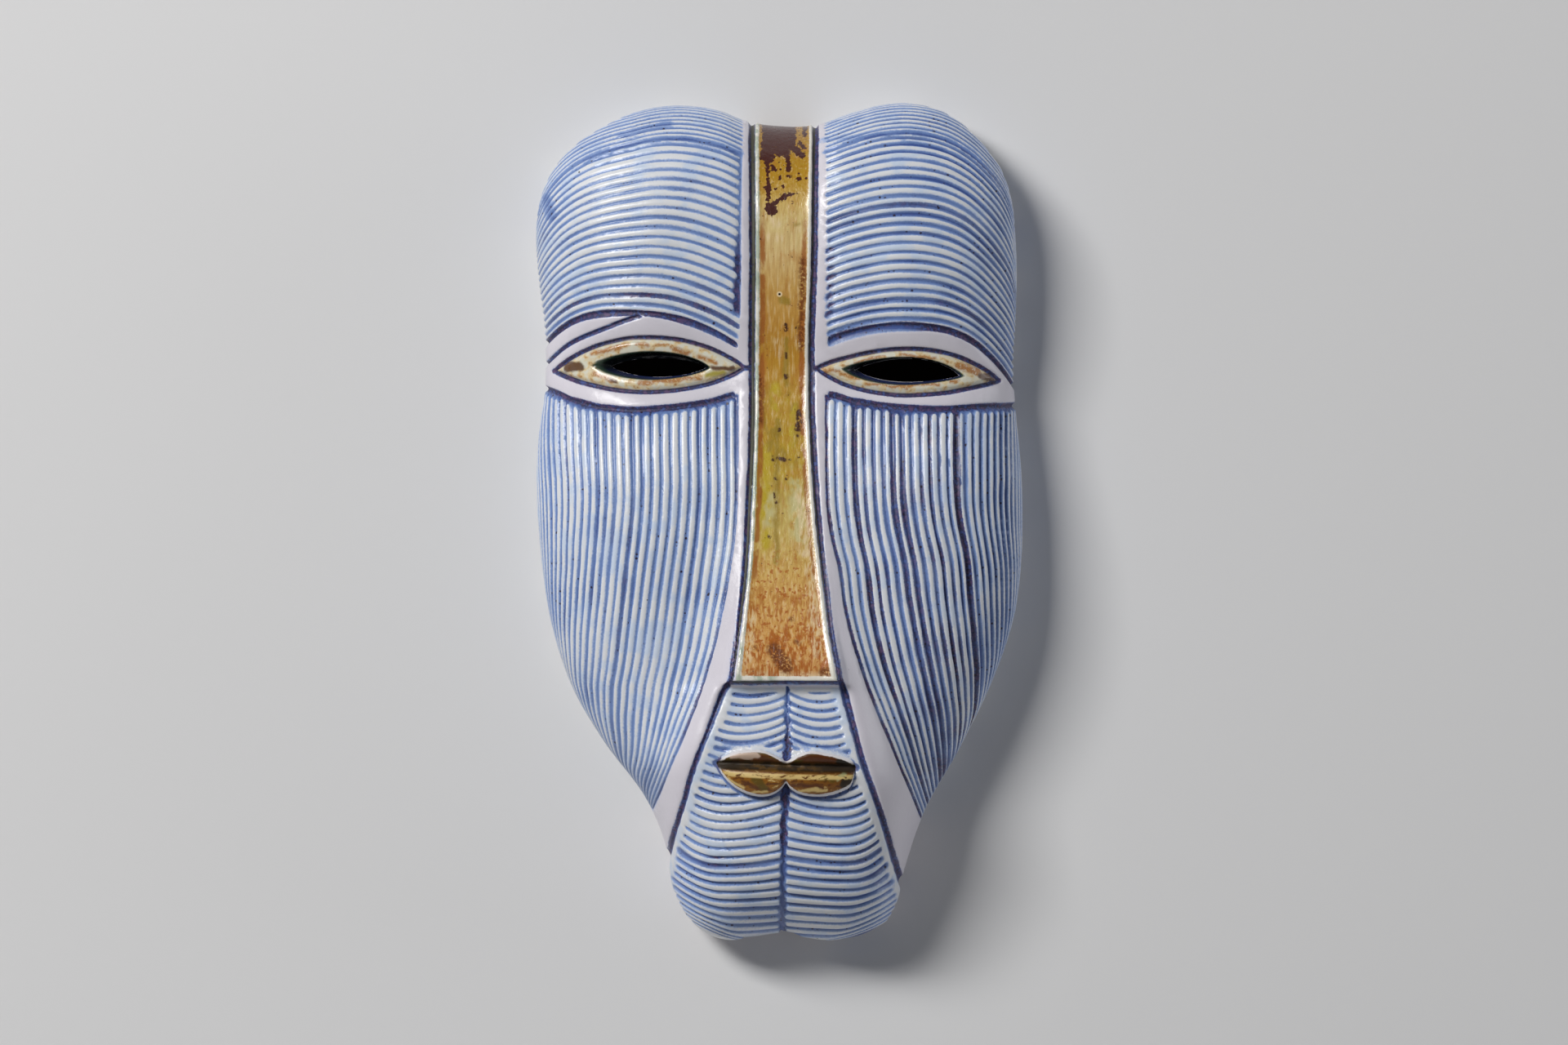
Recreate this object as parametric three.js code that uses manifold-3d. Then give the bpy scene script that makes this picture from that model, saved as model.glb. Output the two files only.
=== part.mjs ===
import * as THREE from 'three';
import Module from 'manifold-3d';
import { mergeVertices } from 'three/addons/utils/BufferGeometryUtils.js';

// A hollow glazed ceramic wall mask, open at the back and combed all over with a loop tool.
// Millimetres. It hangs with its face toward -Y and +Z up. The wall is the plane y = 0, and the origin
// is on the flat back rim, at the middle of the top. "Depth" is always the distance in front of the wall.

// Driving dimensions
const wallThickness = 6;
const rimTuck = 2.4;
const skirtDepth = 13;
const combPitch = 3.4;
const combDepth = 0.95;
const lineDepth = 1.3;
const bandRimHeight = 0.5;
const topRoll = 30;
const sideRoll = 40;
const jawRoll = 31;
const chinRoll = 25;
const boundaryStep = 0.15;

// Heights of the features on the face, above or below the origin
const browHeight = -62;
const cheekTop = -97;
const noseTipHeight = -192.2;
const noseUnderHeight = -194.4;
const lipHeight = -223.4;
const chinHeight = -283;

// Lips, measured from the line of the mouth
const lips = {
  centre: 1.6, halfWidth: 24.8, upper: 6.2, lower: 8.8, bowDip: 3, notch: 4, rise: 4.6, border: 1.9,
};

// Broad swells and dips of the face, the same on both sides, as places and reaches on the front view
const swells = [
  { x: 44, z: -30, wide: 26, tall: 34, rise: 2.2 }, // halves of the forehead
  { x: 46, z: -82, wide: 34, tall: 13, rise: -3 }, // eye sockets
  { x: 52, z: -135, wide: 22, tall: 42, rise: 2.4 }, // cheeks
  { x: 0, z: lipHeight, wide: 24, tall: 11, rise: 2.6 }, // mouth
];
const ridgeFall = 1.6;
const noseFlank = 1.8;

// Hanging notch cut up into the inside of the top wall
const notchWidth = 10;
const notchTop = -1.2;
const notchFront = 8;
const notchBack = 4;

// Outline seen from the front, clockwise from the cleft between the two halves of the forehead
const outlinePoints = [
  [0, 5.8], [12.5, 6.3], [24.2, 10.3], [35.9, 13.4], [46.1, 14], [56.3, 11.6], [65, 6.4], [72, -0.6],
  [78.4, -9.4], [82.2, -20.4], [83.8, -36], [84, -56], [82.9, -82], [83.8, -97], [85.6, -116],
  [86.2, -136], [85.4, -154], [82.8, -171], [75.2, -193], [63.8, -216.5], [51.2, -239], [44.2, -259],
  [41.3, -271.5], [36.6, -279.6], [29, -284], [19.8, -285.6], [9, -284.5], [0.3, -282.8],
  [-9, -283.9], [-18.5, -285.3], [-26.6, -283], [-33.8, -276.6], [-38.8, -266.8], [-42, -249.5],
  [-49, -233.8], [-64, -213.6], [-75.2, -194], [-82.3, -172], [-86, -148], [-87.6, -124], [-87, -106],
  [-84.6, -88], [-84.5, -70], [-86.8, -50], [-87.8, -36], [-87, -23.6], [-83, -12], [-75.5, -2.4],
  [-65, 5], [-53.4, 10.4], [-42, 12.9], [-32, 13], [-22, 11.3], [-12, 7.4],
];

// Depths down the middle of the face, and the level of the cheeks and forehead beside it
const sideLevel = [
  [14, 44], [-10, 47], [-40, 49], [-62, 47], [-80, 44.5], [-100, 47], [-124, 51], [-150, 52.5],
  [-175, 51.5], [-195, 49], [-215, 46.5], [-235, 44], [-255, 43], [-270, 41], [-286, 36],
];
const ridgeRise = [
  [14, -4], [-10, -2.6], [-60, -1], [-90, 0.5], [-124, 2], [-150, 5], [-170, 9], [-185, 12.4],
  [-192, 13.8], [-205, 15.2], [-215, 16], [-235, 15.4], [-255, 11], [-270, 6], [-286, 1],
];
const noseRise = [[-130, 0], [-150, 0.8], [-172, 2.4], [-192.2, 5], [-194.4, -0.8], [-204, -0.6], [-212, 0]];
const ridgeSpread = [[14, 7], [-100, 8], [-150, 12], [-195, 17], [-215, 20], [-240, 24], [-286, 26]];

// Edges of the long nose band, of the dark line beside it that goes on down round the muzzle,
// and of the first comb line beyond the white strip, each as [height, x]
const bandLeft = [[6, -10.6], [-36, -10.2], [-112, -10.3], [-136, -11.4], [-153, -12.9], [-171, -14.3],
  [-192, -16.6]];
const bandRight = [[6, 12.6], [-36, 11.2], [-80, 9.8], [-112, 10], [-136, 12], [-153, 14], [-171, 16.8],
  [-192, 20.6]];
const lineLeft = [[6, -11.4], [-112, -11.5], [-136, -12.6], [-153, -14.2], [-171, -16], [-192, -18.4],
  [-197, -20.9], [-211, -26.5], [-223, -31.4], [-235, -35], [-252, -40]];
const lineRight = [[6, 13.4], [-36, 12.1], [-80, 10.8], [-112, 11], [-136, 13.2], [-153, 15.2], [-171, 18.5],
  [-192, 21.6], [-211, 26], [-223, 29.4], [-240, 35.6], [-262, 42.3], [-266, 43.6]];
const combLeft = [[6, -15.6], [-62, -15.8], [-124, -15.9], [-139, -16.8], [-153, -18.8], [-168, -21.5],
  [-182, -24.8], [-197, -29.5], [-211, -34.8], [-223, -40], [-233, -44], [-243, -48]];
const combRight = [[6, 16], [-62, 16.2], [-124, 16.2], [-139, 17.6], [-153, 20.7], [-168, 23.2],
  [-182, 26.8], [-197, 31.8], [-211, 37.6], [-223, 42.6], [-235, 47.6], [-244, 51]];

// The two halves of the forehead are combed in arches. Each arch peaks at peakX and drops toward
// the nose band (inner) and toward the side of the mask (outer).
const archLeft = {
  side: -1, peakX: -53, brow: -61.8, innerReach: 38, innerDrop: 12,
  outerReach: 31, outerDrop: 10.5, outerPower: 2.1,
};
const archRight = {
  side: 1, peakX: 44, brow: -66.8, innerReach: 29, innerDrop: 6,
  outerReach: 38, outerDrop: 19, outerPower: 2.9,
};

// The eyes: an almond line, a raised rim inside it and a slit right through
const eyeLeft = {
  side: -1, tips: [-81.2, -13.4], tipHeight: [-81.9, -80.9], top: -69.9, bottom: -89.6,
  slit: [-62.6, -26.2], slitTop: -77.3, slitBottom: -84.2, slitHeight: -80.6,
};
const eyeRight = {
  side: 1, tips: [12.8, 77.6], tipHeight: [-81.2, -85.3], top: -74.6, bottom: -90.4,
  slit: [26.6, 62.8], slitTop: -78.4, slitBottom: -86.4, slitHeight: -82.4,
};
const lidLeft = { side: -1, ends: [-88, -15], endHeight: [-86.2, -89.8], low: -95.6, lowX: -52 };
const lidRight = { side: 1, ends: [16.5, 83], endHeight: [-90, -94], low: -95.2, lowX: 52 };

const clay = new THREE.MeshStandardMaterial({ color: 0xd9dcec, roughness: 0.32, metalness: 0 });

// A smooth curve through a few [key, value] stations, read by key and held level past its ends
function stations(pairs) {
  const sorted = [...pairs].sort((first, second) => first[0] - second[0]);
  const slopes = sorted.map((pair, index) => {
    const before = sorted[Math.max(0, index - 1)];
    const after = sorted[Math.min(sorted.length - 1, index + 1)];
    return (after[1] - before[1]) / (after[0] - before[0]);
  });
  return (key) => {
    if (key <= sorted[0][0]) return sorted[0][1];
    if (key >= sorted.at(-1)[0]) return sorted.at(-1)[1];
    const next = sorted.findIndex((pair) => pair[0] > key);
    const [fromKey, fromValue] = sorted[next - 1];
    const [toKey, toValue] = sorted[next];
    const span = toKey - fromKey;
    const share = (key - fromKey) / span;
    const square = share * share;
    const cube = square * share;
    return (2 * cube - 3 * square + 1) * fromValue + (cube - 2 * square + share) * span * slopes[next - 1]
      + (3 * square - 2 * cube) * toValue + (cube - square) * span * slopes[next];
  };
}

// Straight reading of a dense list of [key, value], held level past its ends
function reading(pairs) {
  const sorted = [...pairs].sort((first, second) => first[0] - second[0]);
  return (key) => {
    let low = 0;
    let high = sorted.length - 1;
    if (key <= sorted[low][0]) return sorted[low][1];
    if (key >= sorted[high][0]) return sorted[high][1];
    while (high - low > 1) {
      const middle = (low + high) >> 1;
      if (sorted[middle][0] > key) high = middle;
      else low = middle;
    }
    const share = (key - sorted[low][0]) / (sorted[high][0] - sorted[low][0]);
    return sorted[low][1] + share * (sorted[high][1] - sorted[low][1]);
  };
}

const ease = (share) => {
  const held = Math.min(1, Math.max(0, share));
  return held * held * (3 - 2 * held);
};

// The outline as a dense closed line, and its four sides as functions
const outlineCurve = new THREE.CatmullRomCurve3(
  outlinePoints.map(([x, z]) => new THREE.Vector3(x, 0, z)), true, 'centripetal');
const outline = outlineCurve.getSpacedPoints(720).slice(0, -1).map((point) => [point.x, point.z]);
const farthest = (rank) => outline.reduce(
  (best, point, index) => (rank(point) > rank(outline[best]) ? index : best), 0);
const leftCrown = farthest(([x, z]) => (x < 0 ? z : -999));
const rightCrown = farthest(([x, z]) => (x > 0 ? z : -999));
const leftChin = farthest(([x, z]) => (x < 0 ? -z : -999));
const rightChin = farthest(([x, z]) => (x > 0 ? -z : -999));
const leftTemple = farthest(([x, z]) => (z > -70 ? -x : -999));
const rightTemple = farthest(([x, z]) => (z > -70 ? x : -999));
const leftCheek = farthest(([x, z]) => (z < -100 ? -x : -999));
const rightCheek = farthest(([x, z]) => (z < -100 ? x : -999));

function stretch(from, to) {
  const points = [outline[from]];
  for (let index = from; index !== to;) {
    index = (index + 1) % outline.length;
    points.push(outline[index]);
  }
  return points;
}
const leftAt = reading(stretch(leftChin, leftCrown).map(([x, z]) => [z, x]));
const rightAt = reading(stretch(rightCrown, rightChin).map(([x, z]) => [z, x]));
const topAt = reading(stretch(leftTemple, rightTemple));
const bottomAt = reading(stretch(rightCheek, leftCheek));

// A smooth measure of how far a point is inside the outline
function inset(x, z) {
  const gaps = [x - leftAt(z), rightAt(z) - x, topAt(x) - z, z - bottomAt(x)];
  const sum = gaps.reduce((total, gap) => total + 1 / Math.max(gap, 0.001) ** 2, 0);
  return 1 / Math.sqrt(sum);
}

const middleOfFace = -124;
const levelAt = stations(sideLevel);
const riseAt = stations(ridgeRise);
const noseAt = stations(noseRise);
const spreadAt = stations(ridgeSpread);
const bandLeftAt = stations(bandLeft);
const bandRightAt = stations(bandRight);
const lineLeftAt = stations(lineLeft);
const lineRightAt = stations(lineRight);
const combLeftAt = stations(combLeft);
const combRightAt = stations(combRight);
const stripLeft = combLeftAt(browHeight);
const stripRight = combRightAt(browHeight);
const rollAt = stations([[14, topRoll], [-20, topRoll], [-70, sideRoll], [-170, sideRoll],
  [-215, jawRoll], [-250, chinRoll], [-286, chinRoll]]);

// Depth of the smooth face before it rolls over at the outline
function faceLevel(x, z) {
  const left = lineLeftAt(z);
  const right = lineRightAt(z);
  const beyond = Math.max(0, left - x, x - right);
  const ridge = riseAt(z) * Math.exp(-ridgeFall * (beyond / spreadAt(z)) ** 2);
  const nose = noseAt(z) * Math.exp(-((beyond / noseFlank) ** 2));
  const swelling = swells.reduce((sum, form) => {
    const across = (Math.abs(x) - form.x) / form.wide;
    const down = (z - form.z) / form.tall;
    return sum + form.rise * Math.exp(-(across ** 2) - down ** 2);
  }, 0);
  return levelAt(z) + ridge + nose + swelling;
}

function depthAt(x, z) {
  const share = Math.min(1, inset(x, z) / rollAt(z));
  const roll = Math.sqrt(1 - (1 - share) ** 2);
  return skirtDepth + (faceLevel(x, z) - skirtDepth) * roll;
}

// A point of the face, lifted by relief along the direction that the surface faces
function facePoint(x, z, relief = 0) {
  let nearX = x;
  let nearZ = z;
  if (inset(x, z) < boundaryStep) {
    const pull = 0.004;
    nearX = x * (1 - pull);
    nearZ = z + (middleOfFace - z) * pull;
  }
  const reach = boundaryStep / 3;
  const slopeX = (depthAt(nearX + reach, nearZ) - depthAt(nearX - reach, nearZ)) / (2 * reach);
  const slopeZ = (depthAt(nearX, nearZ + reach) - depthAt(nearX, nearZ - reach)) / (2 * reach);
  const facing = new THREE.Vector3(-slopeX, -1, -slopeZ).normalize();
  return new THREE.Vector3(x, -depthAt(x, z), z).addScaledVector(facing, relief);
}

// Vertices and triangles of the outer surface. A row is a list of vertex numbers, left to right.
const vertices = [];
const triangles = [];
const vertex = (x, z, relief) => vertices.push(facePoint(x, z, relief)) - 1;
const triangle = (a, b, c) => {
  if (a !== b && b !== c && a !== c) triangles.push([a, b, c]);
};

// Joins two rows that run the same way, the first one on the left of the second as they run
function zip(first, second, key) {
  let i = 0;
  let j = 0;
  while (i < first.length - 1 || j < second.length - 1) {
    const nextFirst = i < first.length - 1 ? key(vertices[first[i + 1]]) : Infinity;
    const nextSecond = j < second.length - 1 ? key(vertices[second[j + 1]]) : Infinity;
    if (nextFirst <= nextSecond) {
      triangle(first[i], second[j], first[i + 1]);
      i += 1;
    } else {
      triangle(first[i], second[j], second[j + 1]);
      j += 1;
    }
  }
}
const acrossKey = (point) => point.x;
const downKey = (point) => -point.z;

// Joins two rows of comb columns number by number, and fans what is over at their far ends
function match(upper, lower) {
  const shared = Math.min(upper.length, lower.length);
  for (let index = 0; index < shared - 1; index += 1) {
    triangle(upper[index], lower[index], upper[index + 1]);
    triangle(upper[index + 1], lower[index], lower[index + 1]);
  }
  for (let index = shared - 1; index < upper.length - 1; index += 1) {
    triangle(upper[index], lower.at(-1), upper[index + 1]);
  }
  for (let index = shared - 1; index < lower.length - 1; index += 1) {
    triangle(upper.at(-1), lower[index], lower[index + 1]);
  }
}
// Joins two rows across the face, column by column where they have as many
function joinRows(upper, lower) {
  if (upper.length === lower.length) match(upper, lower);
  else zip(upper, lower, acrossKey);
}
const mirrored = (joining) => {
  const from = triangles.length;
  joining();
  for (let index = from; index < triangles.length; index += 1) triangles[index].reverse();
};

// Height of a forehead arch at x, from share 0 at the brow line to share 1 at the crown. The crown arch
// follows the outline as far as the arch's peak and runs on past the outline beyond it.
function archHeight(arch, x, share) {
  const away = (x - arch.peakX) * arch.side;
  const outer = arch.outerDrop * (Math.max(0, away) / arch.outerReach) ** arch.outerPower;
  const brow = arch.brow - outer - arch.innerDrop * (Math.min(0, away) / arch.innerReach) ** 2;
  const crown = away > 0 ? topAt(arch.peakX) - outer : topAt(x);
  return brow + share * (crown - brow);
}

// The same across the nose band and the strips beside it
function bandHeight(x, share) {
  const way = ease((x - stripLeft) / (stripRight - stripLeft));
  const brow = archHeight(archLeft, stripLeft, 0) * (1 - way) + archHeight(archRight, stripRight, 0) * way;
  return brow + share * (topAt(x) - brow);
}

// Shares of the arches that lie one comb pitch apart along the surface, crest and valley in turn
function archShares(arch) {
  const shares = [];
  let travelled = 0;
  let wanted = 0;
  const steps = 6000;
  let before = facePoint(arch.peakX, archHeight(arch, arch.peakX, 0));
  for (let step = 1; step < steps; step += 1) {
    const share = step / steps;
    const here = facePoint(arch.peakX, archHeight(arch, arch.peakX, share));
    travelled += here.distanceTo(before);
    before = here;
    if (travelled < wanted) continue;
    shares.push(share);
    wanted += combPitch / 2;
  }
  return shares;
}

// x of the comb line that lies a given way along the surface from the white strip, or null past the edge
function combX(side, z, distance) {
  const start = side < 0 ? combLeftAt(z) : combRightAt(z);
  const edge = side < 0 ? leftAt(z) : rightAt(z);
  const step = 0.4;
  let travelled = 0;
  let x = start;
  let depth = depthAt(x, z);
  while ((edge - x) * side > 0) {
    const nextX = Math.abs(edge - x) < step ? edge : x + side * step;
    const nextDepth = depthAt(nextX, z);
    const length = Math.hypot(nextX - x, nextDepth - depth);
    if (travelled + length >= distance) return x + (nextX - x) * ((distance - travelled) / length);
    travelled += length;
    x = nextX;
    depth = nextDepth;
    if (x === edge) break;
  }
  return null;
}

const wave = (index) => (index % 2 === 0 ? -combDepth : 0);

// Comb columns of one cheek along a row whose height may change with x, from the strip outward
function cheekRow(side, heightOf) {
  const columns = [];
  const inner = side < 0 ? combLeftAt : combRightAt;
  for (let index = 0; index < 90; index += 1) {
    let z = heightOf(inner(heightOf(side * 40)));
    let x = inner(z);
    for (let pass = 0; pass < 4 && x !== null; pass += 1) {
      x = combX(side, z, (index * combPitch) / 2);
      if (x !== null) z = heightOf(x);
    }
    if (x === null || inset(x, z) < 0.12) break;
    columns.push(vertex(x, z, wave(index)));
  }
  let edgeZ = heightOf(side * 86);
  for (let pass = 0; pass < 6; pass += 1) edgeZ = heightOf(side < 0 ? leftAt(edgeZ) : rightAt(edgeZ));
  columns.push(vertex(side < 0 ? leftAt(edgeZ) : rightAt(edgeZ), edgeZ, wave(columns.length)));
  return columns;
}

// Vertices across the middle of a row: white strip, dark line, band rim, band, and the same back
function middleColumns(heightAt, lift = 0) {
  const z = heightAt(0);
  const strip = 2.6;
  const rim = 1.5;
  const left = lineLeftAt(z);
  const right = lineRightAt(z);
  const places = [
    [(combLeftAt(z) + left) / 2 - strip / 4, 0],
    [left, -lineDepth],
    [bandLeftAt(z) + rim, bandRimHeight + lift],
    [(left + right) / 2, lift],
    [bandRightAt(z) - rim, bandRimHeight + lift],
    [right, -lineDepth],
    [(combRightAt(z) + right) / 2 + strip / 4, 0],
  ];
  return places.map(([x, relief]) => vertex(x, heightAt(x), relief));
}

// Where a row leaves the outline, walking outward from x
function rowEdge(side, from, heightOf) {
  let x = from;
  const step = 0.25;
  while (Math.abs(x) < 90) {
    const z = heightOf(x);
    if (z > topAt(x) || (side < 0 ? x < leftAt(z) : x > rightAt(z))) break;
    x += side * step;
  }
  let inside = x - side * step;
  for (let pass = 0; pass < 24; pass += 1) {
    const middle = (inside + x) / 2;
    const z = heightOf(middle);
    const out = z > topAt(middle) || (side < 0 ? middle < leftAt(z) : middle > rightAt(z));
    if (out) x = middle;
    else inside = middle;
  }
  return inside;
}

const spaced = (from, to, count) => Array.from(
  { length: count }, (_, index) => from + ((to - from) * index) / (count - 1));

// One row across the whole face, with given heights on the left and right and relief outside the middle
function wideRow(leftHeight, rightHeight, relief, count, middleHeight = null) {
  const innerLeft = combLeftAt(leftHeight(stripLeft));
  const innerRight = combRightAt(rightHeight(stripRight));
  const fromZ = leftHeight(innerLeft);
  const toZ = rightHeight(innerRight);
  const across = (x) => fromZ + (toZ - fromZ) * ease((x - innerLeft) / (innerRight - innerLeft));
  const edgeLeft = rowEdge(-1, innerLeft, leftHeight);
  const edgeRight = rowEdge(1, innerRight, rightHeight);
  const bunching = 0.9;
  const bunched = (from, to) => spaced(0, 1, count).map(
    (share) => from + (to - from) * Math.sin((share * Math.PI) / 2) ** bunching);
  const leftXs = bunched(innerLeft, edgeLeft).reverse();
  const rightXs = bunched(innerRight, edgeRight);
  return [
    ...leftXs.map((x) => vertex(x, leftHeight(x), relief(x))),
    ...middleColumns(middleHeight ?? across),
    ...rightXs.map((x) => vertex(x, rightHeight(x), relief(x))),
  ];
}

// Forehead rows, from the crown down to the brow line
function foreheadRows() {
  const leftShares = archShares(archLeft);
  const rightShares = archShares(archRight);
  const count = Math.min(leftShares.length, rightShares.length) - 1;
  const rows = [];
  for (let index = count; index >= 1; index -= 1) {
    const left = (x) => archHeight(archLeft, x, leftShares[index]);
    const right = (x) => archHeight(archRight, x, rightShares[index]);
    rows.push(wideRow(left, right, () => wave(index), 9, (x) => bandHeight(x, leftShares[index])));
  }
  return rows;
}

// Height of an eye's almond at x: way is 1 on the upper side and -1 on the lower, scale widens it
function almond(eye, x, way, scale) {
  const share = (x - eye.tips[0]) / (eye.tips[1] - eye.tips[0]);
  const axis = eye.tipHeight[0] + (eye.tipHeight[1] - eye.tipHeight[0]) * share;
  const reach = way > 0 ? eye.top - axis : axis - eye.bottom;
  const swell = Math.max(0, 1 - (2 * share - 1) ** 2);
  return axis + way * reach * scale * swell ** 0.85;
}

function lidLine(lid, x) {
  const outward = (x - lid.lowX) * lid.side;
  const end = outward > 0 ? (lid.side < 0 ? 0 : 1) : (lid.side < 0 ? 1 : 0);
  const span = Math.abs(lid.ends[end] - lid.lowX);
  return lid.low + (lid.endHeight[end] - lid.low) * Math.min(1.3, Math.abs(outward) / span) ** 2;
}

// Rows through the eyes, from the brow line down to the line under the lower lid
function eyeRows() {
  const levels = [
    { kind: 'brow', relief: -lineDepth }, { kind: 'lid', relief: 0.3 },
    { way: 1, scale: 1, relief: -lineDepth }, { way: 1, scale: 0.78, relief: 0.9 },
    { way: 1, scale: 0.3, relief: -1.2 }, { way: -1, scale: 0.3, relief: -1.2 },
    { way: -1, scale: 0.74, relief: 0.9 }, { way: -1, scale: 1, relief: -lineDepth },
    { kind: 'under', relief: 0.3 }, { kind: 'lower', relief: -lineDepth },
  ];
  const apart = 0.42;
  return levels.map((level, order) => {
    const heightFor = (arch, eye, lid) => (x) => {
      const held = Math.min(eye.tips[1], Math.max(eye.tips[0], x));
      const brow = archHeight(arch, x, 0);
      const low = lidLine(lid, x);
      const upper = Math.min(almond(eye, held, 1, 1) + 2.5 * apart, brow - apart);
      const lower = Math.max(almond(eye, held, -1, 1) - 2.5 * apart, low + apart);
      if (level.kind === 'brow') return brow;
      if (level.kind === 'lid') return (brow + upper) / 2;
      if (level.kind === 'under') return (low + lower) / 2;
      if (level.kind === 'lower') return low;
      return almond(eye, held, level.way, level.scale) + ((levels.length - 1) / 2 - order) * apart;
    };
    return wideRow(heightFor(archLeft, eyeLeft, lidLeft), heightFor(archRight, eyeRight, lidRight),
      () => level.relief, 15);
  });
}

// Cheek rows, from just under the lower lids down to the tip of the nose
function cheekRows() {
  const rows = [];
  const count = 9;
  const first = 2.4;
  for (let index = 0; index < count; index += 1) {
    const share = index / (count - 1);
    const bend = (1 - share) ** 2;
    const level = cheekTop + share * (noseTipHeight - cheekTop);
    const heightOf = (lid) => (x) => level * (1 - bend) + bend * (lidLine(lid, x) - first);
    const left = cheekRow(-1, heightOf(lidLeft));
    const right = cheekRow(1, heightOf(lidRight));
    const fromZ = heightOf(lidLeft)(combLeftAt(level));
    const toZ = heightOf(lidRight)(combRightAt(level));
    const middle = middleColumns(
      (x) => fromZ + (toZ - fromZ) * ease((x - stripLeft) / (stripRight - stripLeft)));
    rows.push({ left, middle, right });
  }
  return rows;
}

// How far a muzzle line rises above its lowest point, at a share of the way out from the centre groove
const smileOuterAt = stations([[-198, 2.2], [-240, 5.4], [-257, 8.2], [-286, 8.6]]);
const smileInnerAt = stations([[-198, 3.2], [-257, 2.4], [-286, 2.2]]);
function smile(z, share) {
  const turn = 0.56;
  const lipReach = 9;
  const clearOfLips = 1 - Math.exp(-(((z - lipHeight) / lipReach) ** 4));
  if (share > turn) return clearOfLips * smileOuterAt(z) * ((share - turn) / (1 - turn)) ** 2;
  return clearOfLips * smileInnerAt(z) * ((turn - share) / turn) ** 2;
}

const centreAt = stations([[-192, 2.2], [-220, 2], [-245, 0.8], [-286, 0.3]]);
const muzzleLeftAt = (z) => Math.max(lineLeftAt(z), leftAt(z));
const muzzleRightAt = (z) => Math.min(lineRightAt(z), rightAt(z));

const mouthHalfGap = 0.3;

// Lip relief over the muzzle at a point, or null outside the lips and the groove around them
function lipRelief(x, z) {
  const share = Math.abs(x - lips.centre) / lips.halfWidth;
  if (share >= 1) return null;
  const bowReach = 0.17;
  const bow = Math.exp(-((share / bowReach) ** 2));
  const taper = (1 - share ** 2.2) ** 0.6;
  const top = lips.upper * taper - lips.bowDip * bow;
  const bottom = lips.lower * taper - lips.notch * bow;
  const above = z - lipHeight;
  if (above > top + lips.border || above < -bottom - lips.border) return null;
  if (above > top || above < -bottom) return -lineDepth;
  if (Math.abs(above) < mouthHalfGap) return -lineDepth;
  const fullness = Math.abs(above) / (above > 0 ? top : bottom);
  return lips.rise * Math.sqrt(1 - fullness ** 2) * taper ** 0.5;
}

// One muzzle row at the height of its lowest point, left dark line to right dark line or edge to edge
function muzzleRow(level, relief) {
  const shares = [1, 0.93, 0.8, 0.63, 0.45, 0.27, 0.1];
  const place = (side, share) => {
    let z = level;
    let x = 0;
    for (let pass = 0; pass < 8; pass += 1) {
      const centre = centreAt(z);
      const edge = side < 0 ? muzzleLeftAt(z) : muzzleRightAt(z);
      x = centre + (edge - centre) * share;
      z = level + smile(z, share);
    }
    return [x, z];
  };
  const lift = (side, share) => {
    const [x, z] = place(side, share);
    const open = side < 0 ? lineLeftAt(z) > leftAt(z) + 0.3 : lineRightAt(z) < rightAt(z) - 0.3;
    const lip = lipRelief(x, z);
    if (share === 1 && open) return vertex(x, z, -lineDepth);
    if (share === 0) return vertex(x, z, lip === null ? -lineDepth : lip - 0.6);
    if (share > 0.9 && open) return vertex(x, z, 0.2);
    return vertex(x, z, lip === null ? relief : lip);
  };
  const left = shares.map((share) => lift(-1, share));
  const centre = lift(1, 0);
  const right = shares.map((share) => lift(1, share)).reverse();
  return [...left, centre, ...right];
}

// Heights down the muzzle between two of its rows, half a comb pitch apart along the surface
function muzzleHeights(from, to) {
  const column = -20;
  const step = 0.05;
  const heights = [];
  const lengths = [0];
  for (let z = from; z > to; z -= step) {
    heights.push(z);
    const before = facePoint(column, z);
    lengths.push(lengths.at(-1) + before.distanceTo(facePoint(column, Math.max(to, z - step))));
  }
  const count = 2 * Math.round(lengths.at(-1) / combPitch);
  const heightAt = reading(heights.map((z, index) => [lengths[index], z]));
  return spaced(0, lengths.at(-1), count + 1).slice(0, -1).map(heightAt);
}

// Muzzle rows from under the nose to the line of the mouth, and from there to the chin
function muzzleRows() {
  const shallow = -0.4;
  const chinGap = 0.9;
  const lowest = chinHeight - chinGap;
  const heights = [...muzzleHeights(noseUnderHeight, lipHeight), ...muzzleHeights(lipHeight, lowest), lowest];
  return heights.map((z, index) => muzzleRow(z, index === 0 ? shallow : wave(index)));
}

// Outline vertices between two places on it, going clockwise seen from the front
function outlineVertices(from, to, every) {
  const nearest = ([x, z]) => outline.reduce((best, point, index) => {
    const gap = Math.hypot(point[0] - x, point[1] - z);
    return gap < Math.hypot(outline[best][0] - x, outline[best][1] - z) ? index : best;
  }, 0);
  const between = stretch(nearest(from), nearest(to));
  const clear = 3;
  const kept = between.slice(clear, -clear).filter((_, index) => index % every === 0);
  return kept.map(([x, z]) => vertex(x, z, 0));
}
const inPlane = (number) => [vertices[number].x, vertices[number].z];

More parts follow.
